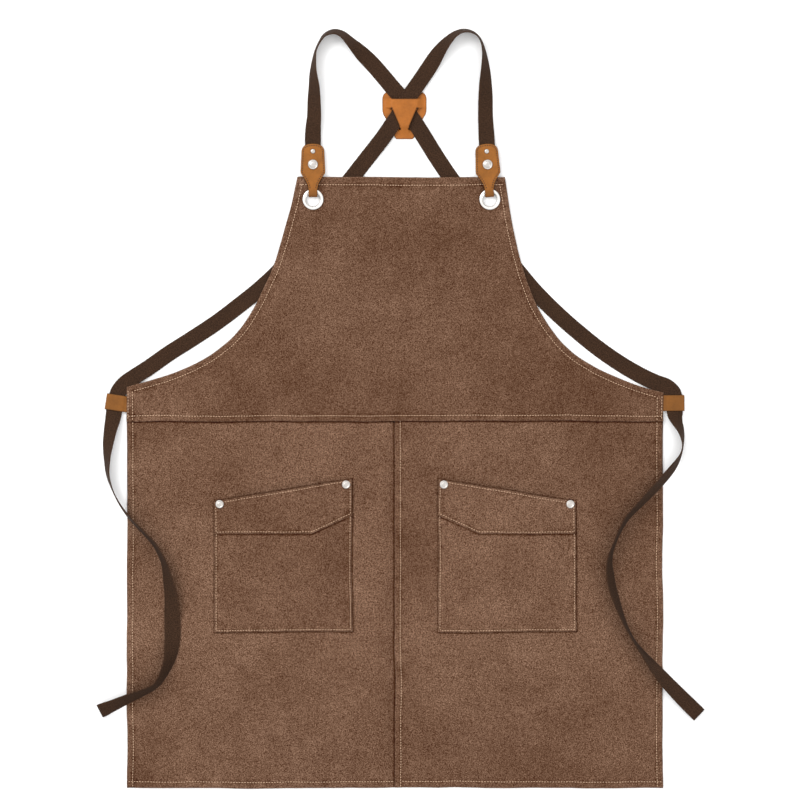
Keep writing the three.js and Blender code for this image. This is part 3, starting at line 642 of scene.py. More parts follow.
class Relief:
    """Height of a panel's upper face: hems, seam valleys, puckers and slow waves; also its
    wear-and-shade mark, with painted shade in the seam valleys, on the puckers and along the given
    shade lines.
    """

    def __init__(self, base, hems, stitches, cloth, seed, hem_rise=0.5, lift=None, painted_shades=()):
        self.base, self.hems, self.stitches, self.painted_shades = base, hems, stitches, painted_shades
        self.pucker, self.wave = cloth.pucker / MM, cloth.wave / MM
        self.seed, self.hem_rise, self.lift = seed, hem_rise, lift

    def __call__(self, x, y):
        shape = np.shape(x)
        points = np.stack([np.ravel(x), np.ravel(y)], 1)
        height = np.full(len(points), float(self.base))
        wear_and_shade = np.full(len(points), 0.5)
        near = np.full(len(points), 1e9)
        for hem, width in self.hems:
            d, along = nearest(points, hem)
            near = np.minimum(near, d)
            body = 1.0 - smooth(d, width - 0.8, width + 2.2)
            height += self.hem_rise * body * (0.75 + 0.5 * ripples(along / 21, d / 40, 3.1))
            # Lighter along the folded edge, darker just past the hem's inner edge.
            wear_and_shade += 0.10 * np.exp(-(d / 1.4) ** 2) - 0.05 * np.exp(-((d - width - 1) / 1.5) ** 2)
        for k, line in enumerate(self.stitches):
            d, along = nearest(points, line)
            bumps = ripples(along / 6.5, d / 22, self.seed + k) \
                + 0.7 * ripples(along / 15, d / 30, self.seed + k + 9.5)
            height += self.pucker * bumps * np.exp(-(d / 6.0) ** 2)
            height -= 0.36 * np.exp(-(d / 0.95) ** 2)
            # Painted light and shade on the puckers, lighter where they rise, and painted shade in
            # the stitch valley.
            wear_and_shade += 0.25 * bumps * np.exp(-(d / 5.0) ** 2) - 0.17 * np.exp(-(d / 1.3) ** 2)
        # Painted shadow lines, under lapped edges and beside raised parts.
        for line, width, depth in self.painted_shades:
            d, along = nearest(points, line, 0.8)
            wear_and_shade -= depth * (1 + 0.3 * ripples(along / 9, d / 30, self.seed)) \
                * np.exp(-(d / width) ** 2)
        inner = smooth(near, 6, 40)
        slow = ripples(points[:, 0] / 70, points[:, 1] / 95, self.seed + 31) \
            + 0.5 * ripples(points[:, 0] / 24, points[:, 1] / 30, self.seed + 47)
        height += self.wave * slow * (0.35 + 0.65 * inner)
        if self.lift is not None:
            height += self.lift(points[:, 0], points[:, 1])
        edge = np.sqrt(np.clip(near / 1.3, 0.0, 1.0))
        return (height.reshape(shape), np.clip(wear_and_shade, 0, 1).reshape(shape), edge.reshape(shape))


def stops(*spans):
    """Grid lines from spans of (start, end, step)."""
    found = []
    for start, end, step in spans:
        count = max(1, int(round(abs(end - start) / step)))
        found.extend(np.linspace(start, end, count, endpoint=False))
    found.append(spans[-1][1])
    return np.array(found)


def stitch_shape():
    """One stitch: a short fat thread, 6-sided, lying along X, in millimetres."""
    deselect()
    bpy.ops.mesh.primitive_uv_sphere_add(segments=6, ring_count=5, radius=1.0,
                                         rotation=(0.0, math.pi / 2, 0.0))
    ball = bpy.context.object
    bpy.ops.object.transform_apply(location=True, rotation=True, scale=True)
    points = np.array([v.co for v in ball.data.vertices], float)
    points[:, 0] = np.sign(points[:, 0]) * np.abs(points[:, 0]) ** 0.8
    faces = [list(p.vertices) for p in ball.data.polygons]
    mesh = ball.data
    bpy.data.objects.remove(ball)
    bpy.data.meshes.remove(mesh)
    return points, faces


def stitching(name, runs, material, pitch, body, slot, thick=1.0, share=0.74,
              drifting=True):
    """Rows of stitches, sunk a little into the face below. Each run is (line, height, seed)."""
    shape, faces = stitch_shape()
    points, polygons = [], []
    for line, height, seed in runs:
        samples, at = evened(line, 0.5)
        length = at[-1]
        count = max(1, int(length / pitch))
        middles = (np.arange(count) + 0.5) * length / count
        for m in middles:
            half = 0.5 * share * length / count
            a, b = (np.array([np.interp(m + end, at, samples[:, k]) for k in range(2)])
                    for end in (-half, half))
            jitter = noise.noise(Vector((m * 0.9, seed, 4.2)))
            along = b - a
            reach = max(float(np.linalg.norm(along)), 1e-6)
            along /= reach
            side = np.array([-along[1], along[0]])
            centre = (a + b) / 2 + side * jitter * 0.22
            side = side + along * 0.12 * jitter
            local = shape * np.array([reach / 2, thick / 2, thick * 0.42])
            flat = centre + local[:, :1] * (along + 0.1 * jitter * side) \
                + local[:, 1:2] * side
            z = float(height(centre[0], centre[1])) if callable(height) else height
            start = len(points)
            points.extend(np.column_stack([flat, z + 0.1 + local[:, 2]]).tolist())
            polygons.extend([[start + v for v in f] for f in faces])
    points = np.array(points)
    if drifting:
        dx, dy = drift(points[:, 0], points[:, 1])
        points[:, 0] += dx
        points[:, 1] += dy
    placed(piece_from(name, points, polygons, material), body, slot)


def sampled(relief, line):
    """A quick height lookup along one line."""
    points, _ = evened(line, 1.7)
    heights = relief(points[:, 0], points[:, 1])[0] + 0.12

    def at(x, y):
        k = ((points - (x, y)) ** 2).sum(1).argmin()
        return heights[k]
    return at


def turned(name, centre, profile, material, segments):
    """A round piece: a circle, extruded and resized loop by loop up its profile."""
    deselect()
    cx, cy = centre[0] * MM, centre[1] * MM
    (r0, z0), rest = profile[0], profile[1:]
    bpy.ops.mesh.primitive_circle_add(vertices=segments, radius=r0 * MM, fill_type="NOTHING",
                                      location=(cx, cy, z0 * MM))
    made = bpy.context.object
    made.name = name
    bpy.ops.object.mode_set(mode="EDIT")
    bpy.ops.mesh.select_all(action="SELECT")
    for r, z in rest:
        bpy.ops.mesh.extrude_edges_move(
            TRANSFORM_OT_translate={"value": (0.0, 0.0, (z - z0) * MM)})
        bpy.ops.transform.resize(value=(r / r0, r / r0, 1.0),
                                 center_override=(cx, cy, z * MM))
        r0, z0 = r, z
    bpy.ops.mesh.select_all(action="SELECT")
    bpy.ops.mesh.remove_doubles(threshold=0.00003)
    bpy.ops.mesh.normals_make_consistent(inside=False)
    bpy.ops.object.mode_set(mode="OBJECT")
    bpy.ops.object.transform_apply(location=True, rotation=True, scale=True)
    bpy.ops.object.shade_smooth_by_angle(angle=math.radians(50))
    made.data.name = name
    made.data.materials.append(material)
    return made


def plate_mesh(name, outer, cuts):
    """A flat plate of the leather's thickness: a filled outline with its holes, made solid."""
    deselect()
    outline = bpy.data.curves.new(name, "CURVE")
    outline.dimensions = "2D"
    outline.fill_mode = "BOTH"
    outline.extrude = LEATHER / 2 * MM
    for line in (outer, *cuts):
        spline = outline.splines.new("POLY")
        spline.points.add(len(line) - 1)
        for point, (x, y) in zip(spline.points, line):
            point.co = (x * MM, y * MM, 0.0, 1.0)
        spline.use_cyclic_u = True
    made = bpy.data.objects.new(name, outline)
    bpy.context.scene.collection.objects.link(made)
    bpy.context.view_layer.objects.active = made
    made.select_set(True)
    bpy.ops.object.convert(target="MESH")
    made = bpy.context.object
    bpy.ops.object.mode_set(mode="EDIT")
    bpy.ops.mesh.select_all(action="SELECT")
    bpy.ops.mesh.remove_doubles(threshold=0.00001)
    bpy.ops.mesh.normals_make_consistent(inside=False)
    bpy.ops.object.mode_set(mode="OBJECT")
    made.data.name = name
    return made


def apply_modifier(made, kind, **values):
    deselect()
    bpy.context.view_layer.objects.active = made
    made.select_set(True)
    added = made.modifiers.new(kind.lower(), kind)
    for key, value in values.items():
        setattr(added, key, value)
    bpy.ops.object.modifier_apply(modifier=added.name)


def leather_plate(name, outer, cuts, material, bend, voxel=0.42, rub=1.1, painted_shade=None):
    """Leather cut to an outline, its edges rounded, then bent: bend(points) moves them."""
    made = plate_mesh(name, outer, cuts)
    apply_modifier(made, "REMESH", mode="VOXEL", voxel_size=voxel * MM, use_smooth_shade=True)
    apply_modifier(made, "SMOOTH", factor=0.5, iterations=3)
    mesh = made.data
    points = np.array([v.co for v in mesh.vertices], float) / MM
    gap = np.full(len(points), 1e9)
    for line in [outer, *cuts]:
        closed = np.vstack([line, line[:1]])
        gap = np.minimum(gap, nearest(points[:, :2], closed, 0.6)[0])
    crown = np.clip(gap / rub, 0, 1)
    points[:, 2] *= 0.72 + 0.28 * np.sqrt(crown)
    wear_and_shade = np.clip(1.0 - gap / rub, 0, 1)
    # Painted shade: darker where the given function says, on top of the burnished edges.
    if painted_shade is not None:
        wear_and_shade = np.maximum(wear_and_shade, painted_shade(points))
    points = bend(points)
    mesh.vertices.foreach_set("co", (points * MM).ravel())
    mesh.update()
    mesh.polygons.foreach_set("use_smooth", np.ones(len(mesh.polygons), bool))
    mesh.materials.clear()
    mesh.materials.append(material)
    store_wear_and_shade(mesh, wear_and_shade)
    return made


# ---------- Webbing ----------
def through(points, t):
    """A centripetal curve through the points, at t from 0 to 1 and its direction."""
    points = np.asarray(points, float)
    spans = len(points) - 1
    k = min(int(t * spans), spans - 1)
    f = t * spans - k
    p1, p2 = points[k], points[k + 1]
    p0 = points[k - 1] if k > 0 else 2 * p1 - p2
    p3 = points[k + 2] if k + 2 <= spans else 2 * p2 - p1
    d0, d1, d2 = (max(float(np.linalg.norm(b - a)), 1e-9) ** 0.5
                  for a, b in ((p0, p1), (p1, p2), (p2, p3)))
    m1 = ((p1 - p0) / d0 - (p2 - p0) / (d0 + d1) + (p2 - p1) / d1) * d1
    m2 = ((p2 - p1) / d1 - (p3 - p1) / (d1 + d2) + (p3 - p2) / d2) * d1
    c2, c3 = -3 * p1 + 3 * p2 - 2 * m1 - m2, 2 * p1 - 2 * p2 + m1 + m2
    return p1 + m1 * f + c2 * f * f + c3 * f ** 3, m1 + 2 * c2 * f + 3 * c3 * f * f


def strip_frames(route, step=2.2):
    """Centres, width directions and depth directions down a route of webbing."""
    plan = [(x, y) for x, y, *_ in route]
    rows = np.array(route, float)
    spans = len(route) - 1
    rough = [through(plan, t)[0] for t in np.linspace(0, 1, spans * 12 + 1)]
    gone = distances(rough)
    count = int(gone[-1] / step) + 1
    times = np.interp(np.linspace(0, gone[-1], count + 1), gone, np.linspace(0, 1, len(gone)))
    keys = np.linspace(0, 1, spans + 1)
    fine = np.linspace(0, 1, spans * 12 + 1)
    kernel = np.ones(11) / 11
    eased = []
    for column in (2, 3):
        values = np.interp(fine, keys, rows[:, column])
        padded = np.concatenate([values[:1].repeat(5), values, values[-1:].repeat(5)])
        eased.append(np.convolve(padded, kernel, mode="valid"))
    found = []
    for t in times:
        tilt = math.radians(float(np.interp(t, fine, eased[0])))
        rest = float(np.interp(t, fine, eased[1]))
        (x, y), (dx, dy) = through(plan, t)
        long = math.hypot(dx, dy)
        dx, dy = dx / long, dy / long
        z = rest + abs(math.sin(tilt)) * WEBBING_WIDTH / 2 + math.cos(tilt) * WEBBING / 2
        width = np.array([-dy * math.cos(tilt), dx * math.cos(tilt), math.sin(tilt)])
        along = np.array([dx, dy, 0.0])
        found.append((np.array([x, y, z]), along, width, np.cross(along, width)))
    return found


def webbing_strip(name, frames, material, hem=0.0):
    """Flat woven webbing with rounded selvedges; its last stretch may be a folded hem."""
    half, thick = WEBBING_WIDTH / 2, WEBBING / 2
    section = [(-half, 0.0), (-half + 0.25, -0.62), (-half + 1.1, -1.0), (-half * 0.5, -0.94),
               (0.0, -0.94), (half * 0.5, -0.94), (half - 1.1, -1.0), (half - 0.25, -0.62),
               (half, 0.0), (half - 0.25, 0.62), (half - 1.1, 1.0), (half * 0.5, 0.94),
               (0.0, 0.94), (-half * 0.5, 0.94), (-half + 1.1, 1.0), (-half + 0.25, 0.62)]
    sides = len(section)
    gone = distances([f[0] for f in frames])
    points, where = [], []
    for (centre, _, width, depth), s in zip(frames, gone):
        left = gone[-1] - s
        fold = float(smooth(hem + 1.2 - left, 0.0, 1.6)) if hem else 0.0
        end = 1.0 - 0.35 * float(smooth(1.0 - min(s, left), 0.0, 1.0))
        for w, d in section:
            deep = d * thick * end * (1.0 + 0.75 * fold)
            wander = 0.12 * noise.noise(Vector((s / 7.0, w, 1.7)))
            points.append(centre + width * w * (1.0 - 0.01 * fold) + depth * deep
                          + width * wander)
            where.append((s * MM, w * MM))
    faces, rings = [], len(frames)
    for i in range(rings - 1):
        for c in range(sides):
            a, b = i * sides + c, i * sides + (c + 1) % sides
            faces.append((a, b, b + sides, a + sides))
    faces.append(tuple(range(sides - 1, -1, -1)))
    faces.append(tuple(range((rings - 1) * sides, rings * sides)))
    made = piece_from(name, points, faces, material)
    mesh = made.data
    own = mesh.uv_layers.new(name="strip")
    for loop in mesh.loops:
        own.data[loop.index].uv = where[loop.vertex_index]
    return made, float(gone[-1])


def bar_across(name, frames, back, material):
    """A row of stitches across the webbing, this far before its end."""
    shape, faces = stitch_shape()
    gone = distances([f[0] for f in frames])
    k = int(np.searchsorted(gone, gone[-1] - back))
    centre, along, width, depth = frames[k]
    upward = depth if depth[2] > 0 else -depth
    points, polygons = [], []
    for w in np.arange(-8.0, 8.1, 2.7):
        start = len(points)
        local = shape * np.array([1.0, 0.3, 0.26])
        place = centre + width * w + upward * (WEBBING * 0.62)
        points.extend((place + local[:, :1] * width + local[:, 1:2] * along
                       + local[:, 2:] * upward).tolist())
        polygons.extend([[start + v for v in f] for f in faces])
    return piece_from(name, points, polygons, material)


# ---------- Outlines ----------
def armhole(side):
    sign = SIGN[side]
    drop = BIB_TOP - 141
    end = ARMHOLE_END[side]
    return bezier((sign * SKIRT_HALF, end), (sign * (SKIRT_HALF - 105), end + 31.5),
                  (sign * (BIB_HALF + 0.16 * drop), BIB_TOP - drop),
                  (BIB_LEAN + sign * BIB_HALF, BIB_TOP), 90)


def inset(line, distance):
    """The line moved to its left by a distance."""
    line = np.asarray(line, float)
    ahead = np.gradient(line, axis=0)
    ahead /= np.maximum(np.linalg.norm(ahead, axis=1), 1e-9)[:, None]
    return line + np.stack([-ahead[:, 1], ahead[:, 0]], 1) * distance


def pocket_x(sign, u):
    return sign * (POCKET_CENTRE + (0.5 - u) * POCKET_WIDTH)


def pocket_top(u):
    return POCKET_OUTER + (POCKET_INNER - POCKET_OUTER) * u


def pocket_painted_shades(sign):
    """Painted shadow lines where a pocket's edges meet the skirt, deeper away from the light."""
    left, right = sorted((pocket_x(sign, 0), pocket_x(sign, 1)))
    tops = {pocket_x(sign, 0): POCKET_OUTER, pocket_x(sign, 1): POCKET_INNER}
    return [([(left - 0.6, POCKET_BOTTOM), (left - 0.6, tops[left])], 0.9, 0.22),
            ([(right + 0.7, POCKET_BOTTOM), (right + 0.7, tops[right])], 1.1, 0.40),
            ([(left, POCKET_BOTTOM - 0.7), (right, POCKET_BOTTOM - 0.7)], 1.1, 0.38),
            ([(left, tops[left] + 0.7), (right, tops[right] + 0.7)], 1.1, 0.26)]


def pocket_lift(sign, bulge):
    """How far a pocket stands off the skirt at a point."""
    def lift(x, y):
        u = np.clip(0.5 - (x * sign - POCKET_CENTRE) / POCKET_WIDTH, 0, 1)
        v = np.clip((y - POCKET_BOTTOM) / (pocket_top(u) - POCKET_BOTTOM), 0, 1)
        edge = np.minimum(u, 1 - u)
        return bulge * smooth(edge, POCKET_MARGIN, POCKET_RISE) * smooth(v, 0.06, 0.5)
    return lift


def keeper_outline():
    right = [(10.4, -29.9), (13.4, -25), (22.6, -5), (26.2, 0.4), (27.4, 4.5),
             (27.6, 8), (27.6, 21.6), (26.8, 24.6), (25.6, 26.4), (23.1, 28.8), (21.6, 28),
             (19.6, 26)]
    half = np.array(right, float)
    other = half[::-1] * (-1, 1)
    return np.vstack([half, other])


def tab_outline():
    """The tab laid out flat: the head above the fold, the tongue below it."""
    half, neck, bend = TAB_WIDTH / 2, NECK / 2, math.pi * 2.6
    low = -bend - (SNAP_Y + 8.5 - 1 - FOLD)
    right = [
        *bezier((neck, -1), (neck, 2), (neck, 3), (neck, 5), 3),
        *bezier((neck, 5), (neck + 0.3, 14), (half - 6, 18), (half - 0.2, 26.6), 12)[1:],
        *bezier((half - 0.2, 26.6), (half + 0.2, 29), (half - 0.1, 32), (half - 0.4, 36), 4)[1:],
        (half - 1.2, TAB_LENGTH - FOLD - 9.5),
        *bezier((half - 1.2, TAB_LENGTH - FOLD - 9.5), (half - 1.8, TAB_LENGTH - FOLD - 3.0),
                (half - 6.5, TAB_LENGTH - FOLD - 0.2), (0.01, TAB_LENGTH - FOLD), 12)[1:],
    ]
    tongue = [
        *bezier((0.01, low), (5.2, low), (8.5, low + 3.8), (8.5, low + 8.5), 8),
        *bezier((8.5, low + 8.5), (8.5, low + 18), (neck, low + 19), (neck, low + 25), 8)[1:],
        (neck, -bend), (neck, -bend / 2),
    ]
    side = np.array(tongue + right, float)
    return np.vstack([side, side[::-1] * (-1, 1)])


# ---------- Operators ----------
class APRON_OT_stage(bpy.types.Operator):
    """Lay the pale table, the surround, the soft lights and the camera"""

    bl_idname = "apron.stage"
    bl_label = "Table, light and camera"

    def execute(self, context):
        scene, stage = context.scene, context.scene.apron_stage
        deselect()
        bpy.ops.mesh.primitive_plane_add(size=20, location=(0, 0, -0.0002))
        table = context.object
        table.name = "table"
        bpy.ops.object.transform_apply(location=True, rotation=True, scale=True)
        material, _, shader = new_finish("table_white")
        shader.inputs["Base Color"].default_value = (0.96, 0.96, 0.96, 1)
        shader.inputs["Roughness"].default_value = 0.9
        shader.inputs["Specular IOR Level"].default_value = 0.1
        table.data.materials.append(material)
        for name, place, size, power in LAMPS:
            bpy.ops.object.light_add(type="AREA", location=place)
            lamp = context.object
            lamp.name = name
            lamp.data.size = size
            lamp.data.energy = power
            lamp.rotation_euler = (Vector((0, 0.05, 0)) - Vector(place)).to_track_quat(
                "-Z", "Y").to_euler()
        world = bpy.data.worlds.new("surround")
        world.use_nodes = True
        scene.world = world
        w = Wiring(world.node_tree)
        ray = w.node("ShaderNodeTexCoord").outputs["Generated"]
        rise = w.node("ShaderNodeSeparateXYZ", inputs={"Vector": ray}).outputs["Z"]
        glow = w.math("MULTIPLY", w.spread(rise, 0.05, 0.8, 0.45, 1.25), stage.daylight)
        back = world.node_tree.nodes["Background"]
        world.node_tree.links.new(glow, back.inputs["Strength"])
        back.inputs["Color"].default_value = (1, 1, 1, 1)
        scene.view_settings.view_transform = "Standard"
        bpy.ops.object.camera_add(location=(CAMERA_X, CAMERA_Y, stage.camera_height),
                                  rotation=(0, 0, 0))
        camera = context.object
        camera.name = "overhead"
        camera.data.lens = stage.lens
        camera.data.sensor_width = 36
        camera.data.clip_end = 50
        scene.camera = camera
        return {"FINISHED"}


class APRON_OT_straps(bpy.types.Operator):
    """Weave the two crossed shoulder straps and the two loose ties"""

    bl_idname = "apron.straps"
    bl_label = "Straps and ties"

    def execute(self, context):
        cloth = finish("webbing", webbing_finish, tuple(context.scene.apron_cloth.webbing))
        thread = finish("brown_thread", thread_finish, "brown_thread", (0.10, 0.06, 0.035))
        for side in (LEFT, RIGHT):
            frames = strip_frames(SHOULDER[side])
            strap, long = webbing_strip(f"shoulder_{side}", frames, cloth)
            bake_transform(strap)
            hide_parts(f"shoulder_strap_{side}", f"strap_end_{side}")
            frames = strip_frames(TIE[side])
            tie, long = webbing_strip(f"tie_{side}", frames, cloth, hem=12.0)
            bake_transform(tie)
            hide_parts(f"tie_strap_{side}")
            bar = bar_across(f"tie_hem_stitch_{side}", frames, 10.5, thread)
            placed(bar, f"{side}_tie", "brown_webbing")
        return {"FINISHED"}


class APRON_OT_skirt(bpy.types.Operator):
    """Lay the two hemmed skirt panels, lapped and stitched at the middle"""

    bl_idname = "apron.skirt"
    bl_label = "Skirt panels"

    def execute(self, context):
        cloth = context.scene.apron_cloth
        top = WAIST + WAIST_LAP
        runs = []
        for side in (LEFT, RIGHT):
            sign = SIGN[side]
            outer = sign * SKIRT_HALF
            bottom = [(-SKIRT_HALF, SKIRT_BOTTOM), (SKIRT_HALF, SKIRT_BOTTOM)]
            edge = [(outer, SKIRT_BOTTOM), (outer, top)]
            seam = [(CENTRE_SEAM, SKIRT_BOTTOM + 1), (CENTRE_SEAM, top)]
            hem_line = [(8.5 if sign > 0 else -1.5, SKIRT_BOTTOM + HEM_SEAM),
                        (outer - sign * 1.5, SKIRT_BOTTOM + HEM_SEAM)]
            side_x = outer - sign * SIDE_SEAM
            side_line = [(side_x, SKIRT_BOTTOM + 1.5), (side_x, top - 9)]
            valleys = [hem_line, side_line] + ([seam] if sign > 0 else [])
            hems = [(bottom, BOTTOM_HEM), (edge, SIDE_HEM)]
            if sign > 0:
                hems.append(([(0, SKIRT_BOTTOM), (0, top)], CENTRE_HEM))
            # Painted shadows: a dark line under the bib's lower edge and, on the left panel, under
            # the right panel's lap.
            painted_shades = [([(-SKIRT_HALF, WAIST - 0.7), (SKIRT_HALF, WAIST - 0.7)], 1.35, 0.47)]
            if sign < 0:
                painted_shades.append(([(-0.7, SKIRT_BOTTOM), (-0.7, top)], 1.1, 0.42))
            painted_shades += pocket_painted_shades(sign)
            relief = Relief(SKIRT_FACE, hems, valleys, cloth, 5.0 + sign, 0.42, painted_shades=painted_shades)
            low, high = sorted((pocket_x(sign, 0), pocket_x(sign, 1)))
            middle = ((low - 4, low + 2, 1.0), (low + 2, high - 2, 5.0), (high - 2, high + 4, 1.0))
            if sign < 0:
                xs = stops((outer, outer + 14, 1.0), (outer + 14, low - 4, 5.0), *middle,
                           (high + 4, -22, 5.0), (-22, CENTRE_LAP, 1.5))
            else:
                xs = stops((0, 13, 1.0), (13, low - 4, 5.0), *middle,
                           (high + 4, outer - 14, 5.0), (outer - 14, outer, 1.0))
            ys = stops((SKIRT_BOTTOM, SKIRT_BOTTOM + 14, 1.0),
                       (SKIRT_BOTTOM + 14, POCKET_BOTTOM - 4, 4.0),
                       (POCKET_BOTTOM - 4, POCKET_BOTTOM + 2, 1.0),
                       (POCKET_BOTTOM + 2, POCKET_OUTER - 2, 4.0),
                       (POCKET_OUTER - 2, POCKET_INNER + 4, 1.0), (POCKET_INNER + 4, 48, 4.0),
                       (48, 58, 1.0), (58, top, 2.0))
            x, y = np.meshgrid(xs, ys)
            height, wear_and_shade, rounding = relief(x, y)
            near = np.minimum(np.abs(x - outer), y - SKIRT_BOTTOM)
            under = np.where(near < BOTTOM_HEM, 0.05, height - CANVAS_THICK)
            if sign < 0:  # this panel dips under the other one's lap
                dip = smooth(x, -15, -2.5)
                height = height * (1 - dip) + dip
                under = np.maximum(np.minimum(under, height - 0.9), 0.02)
                # Painted shade: darker towards the middle, where this panel runs under the lap.
                wear_and_shade = wear_and_shade - 0.06 * smooth(x, -9, -1)
            else:
                near = np.minimum(near, x)
                under = np.where(x < 9.5, np.maximum(under, 1.35), under)
            top_z = under + (height - under) * (0.30 + 0.70 * np.where(near < 1.3, rounding, 1))
            wander = 0.45 * ripples(y / 60, np.full_like(x, sign), 8.3)
            sway = 0.4 * ripples(x / 50, np.zeros_like(y), 2.9)
            x = x + wander * (smooth(np.abs(x), 250, SKIRT_HALF) + 0.25 * (x < 14) * (x > -1))
            y = y + sway * (1 - smooth(y, SKIRT_BOTTOM, SKIRT_BOTTOM + 60))
            canvas = canvas_of(context, f"canvas_skirt_{side}", SKIRT_CUT[side])
            panel = shell(f"skirt_{side}", x, y, top_z, under, canvas, wear_and_shade)
            placed(panel, "apron", "canvas", f"skirt_panel_{side}")
            runs += [(hem_line, sampled(relief, hem_line), 1.0 + sign),
                     (side_line, sampled(relief, side_line), 4.0 + sign)]
            if sign > 0:
                runs.append((seam, sampled(relief, seam), 9.0))
        stitching("skirt_stitching", runs, thread_of(context), cloth.stitch / MM, "apron",
                  "canvas")
        return {"FINISHED"}


class APRON_OT_bib(bpy.types.Operator):
    """Lay the bib with its curved armhole hems over the waist seam"""

    bl_idname = "apron.bib"
    bl_label = "Bib"

    def execute(self, context):
        cloth = context.scene.apron_cloth
        arm = {side: armhole(side) for side in (LEFT, RIGHT)}
        top_edge = [(BIB_LEAN - BIB_HALF, BIB_TOP), (BIB_LEAN + BIB_HALF, BIB_TOP)]
        waist = [(-SKIRT_HALF, WAIST), (SKIRT_HALF, WAIST)]
        hems = [(top_edge, NECK_HEM), (waist, WAIST_HEM)]
        waist_y, neck_y = WAIST + WAIST_SEAM, BIB_TOP - NECK_SEAM
        lines = [[(-SKIRT_HALF + 1.5, waist_y), (SKIRT_HALF - 1.5, waist_y)],
                 [(BIB_LEAN - BIB_HALF + 2, neck_y), (BIB_LEAN + BIB_HALF - 2, neck_y)]]
        for side in (LEFT, RIGHT):
            sign = SIGN[side]
            hems.append((arm[side], ARM_HEM))
            hems.append(([(sign * SKIRT_HALF, WAIST), (sign * SKIRT_HALF, ARMHOLE_END[side])],
                         8.0))
            stitch = inset(arm[side], ARM_SEAM * sign)
            across = SKIRT_HALF - SIDE_SEAM
            stitch = stitch[(np.abs(stitch[:, 0]) < across) & (stitch[:, 1] < BIB_TOP - 2)]
            lines.append(stitch)
            lines.append([(sign * across, WAIST + 1.5), (sign * across, stitch[0][1])])
            lines.append([(sign * (SKIRT_HALF - 1.9), WAIST + 3),
                          (sign * (SKIRT_HALF - 1.9), ARMHOLE_END[side] - 4)])
        angles = np.linspace(0, 2 * math.pi, 40)
        pressed = [np.stack([gx + 13.6 * np.cos(angles), gy + 13.6 * np.sin(angles)], 1)
                   for gx, gy in GROMMET.values()]
        # Painted shadows on the bib around each leather tab's neck.
        neck_painted_shadows = [([(gx, gy + 15), (gx, gy + 22)], 9.5, 0.22) for gx, gy in GROMMET.values()]
        relief = Relief(BIB_FACE, hems, lines, cloth, 2.0, 0.3, painted_shades=neck_painted_shadows)
        ys = np.unique(np.concatenate([
            stops((WAIST, WAIST + 12, 1.0), (WAIST + 12, 90, 2.0), (90, 132, 1.25),
                  (132, 200, 2.5), (200, BIB_TOP - 14, 4.0), (BIB_TOP - 14, BIB_TOP, 1.0)),
            list(ARMHOLE_END.values())]))
        edges = {}
        for side in (LEFT, RIGHT):
            line = arm[side][np.argsort(arm[side][:, 1])]
            edges[side] = np.where(ys <= ARMHOLE_END[side], SIGN[side] * SKIRT_HALF,
                                   np.interp(ys, line[:, 1], line[:, 0]))
        offs = stops((0, 14, 1.0), (14, 32, 2.0), (32, 60, 3.5))
        mid = np.linspace(0, 1, 62)[1:-1]
        rows = []
        for a, b in zip(edges[LEFT], edges[RIGHT]):
            inner_a, inner_b = a + offs[-1], b - offs[-1]
            rows.append(np.concatenate([a + offs, inner_a + (inner_b - inner_a) * mid,
                                        (b - offs)[::-1]]))
        x = np.array(rows)
        y = np.repeat(ys[:, None], x.shape[1], axis=1)
        height, wear_and_shade, rounding = relief(x, y)
        under = np.full_like(height, BIB_UNDER)
        for ring in pressed:
            gap = nearest(np.stack([x.ravel(), y.ravel()], 1), ring)[0].reshape(x.shape)
            height = height - 0.3 * np.exp(-(gap / 2.5) ** 2)
            # Painted shade in the pressed ring round each grommet.
            wear_and_shade = wear_and_shade - 0.10 * np.exp(-(gap / 2.0) ** 2)
        top_z = under + (height - under) * (0.3 + 0.7 * rounding)
        sway = 0.45 * ripples(x / 55, y / 200, 6.6)
        rim = 1 - smooth(np.minimum(y - WAIST, BIB_TOP - y), 0, 30)
        y = y + sway * rim
        panel = shell("bib", x, y, top_z, under, canvas_of(context, "canvas_bib", BIB_CUT), wear_and_shade)
        for gx, gy in GROMMET.values():
            deselect()
            bpy.ops.mesh.primitive_cylinder_add(vertices=48, radius=9.6 * MM, depth=0.02,
                                                location=(gx * MM, gy * MM, 0.004))
            tool = context.object
            apply_modifier(panel, "BOOLEAN", operation="DIFFERENCE", solver="EXACT", object=tool)
            bpy.data.objects.remove(tool)
        placed(panel, "apron", "canvas", "bib_panel")
        runs = [(line, sampled(relief, line), 3.0 + k) for k, line in enumerate(lines)]
        stitching("bib_stitching", runs, thread_of(context), cloth.stitch / MM, "apron", "canvas")
        return {"FINISHED"}


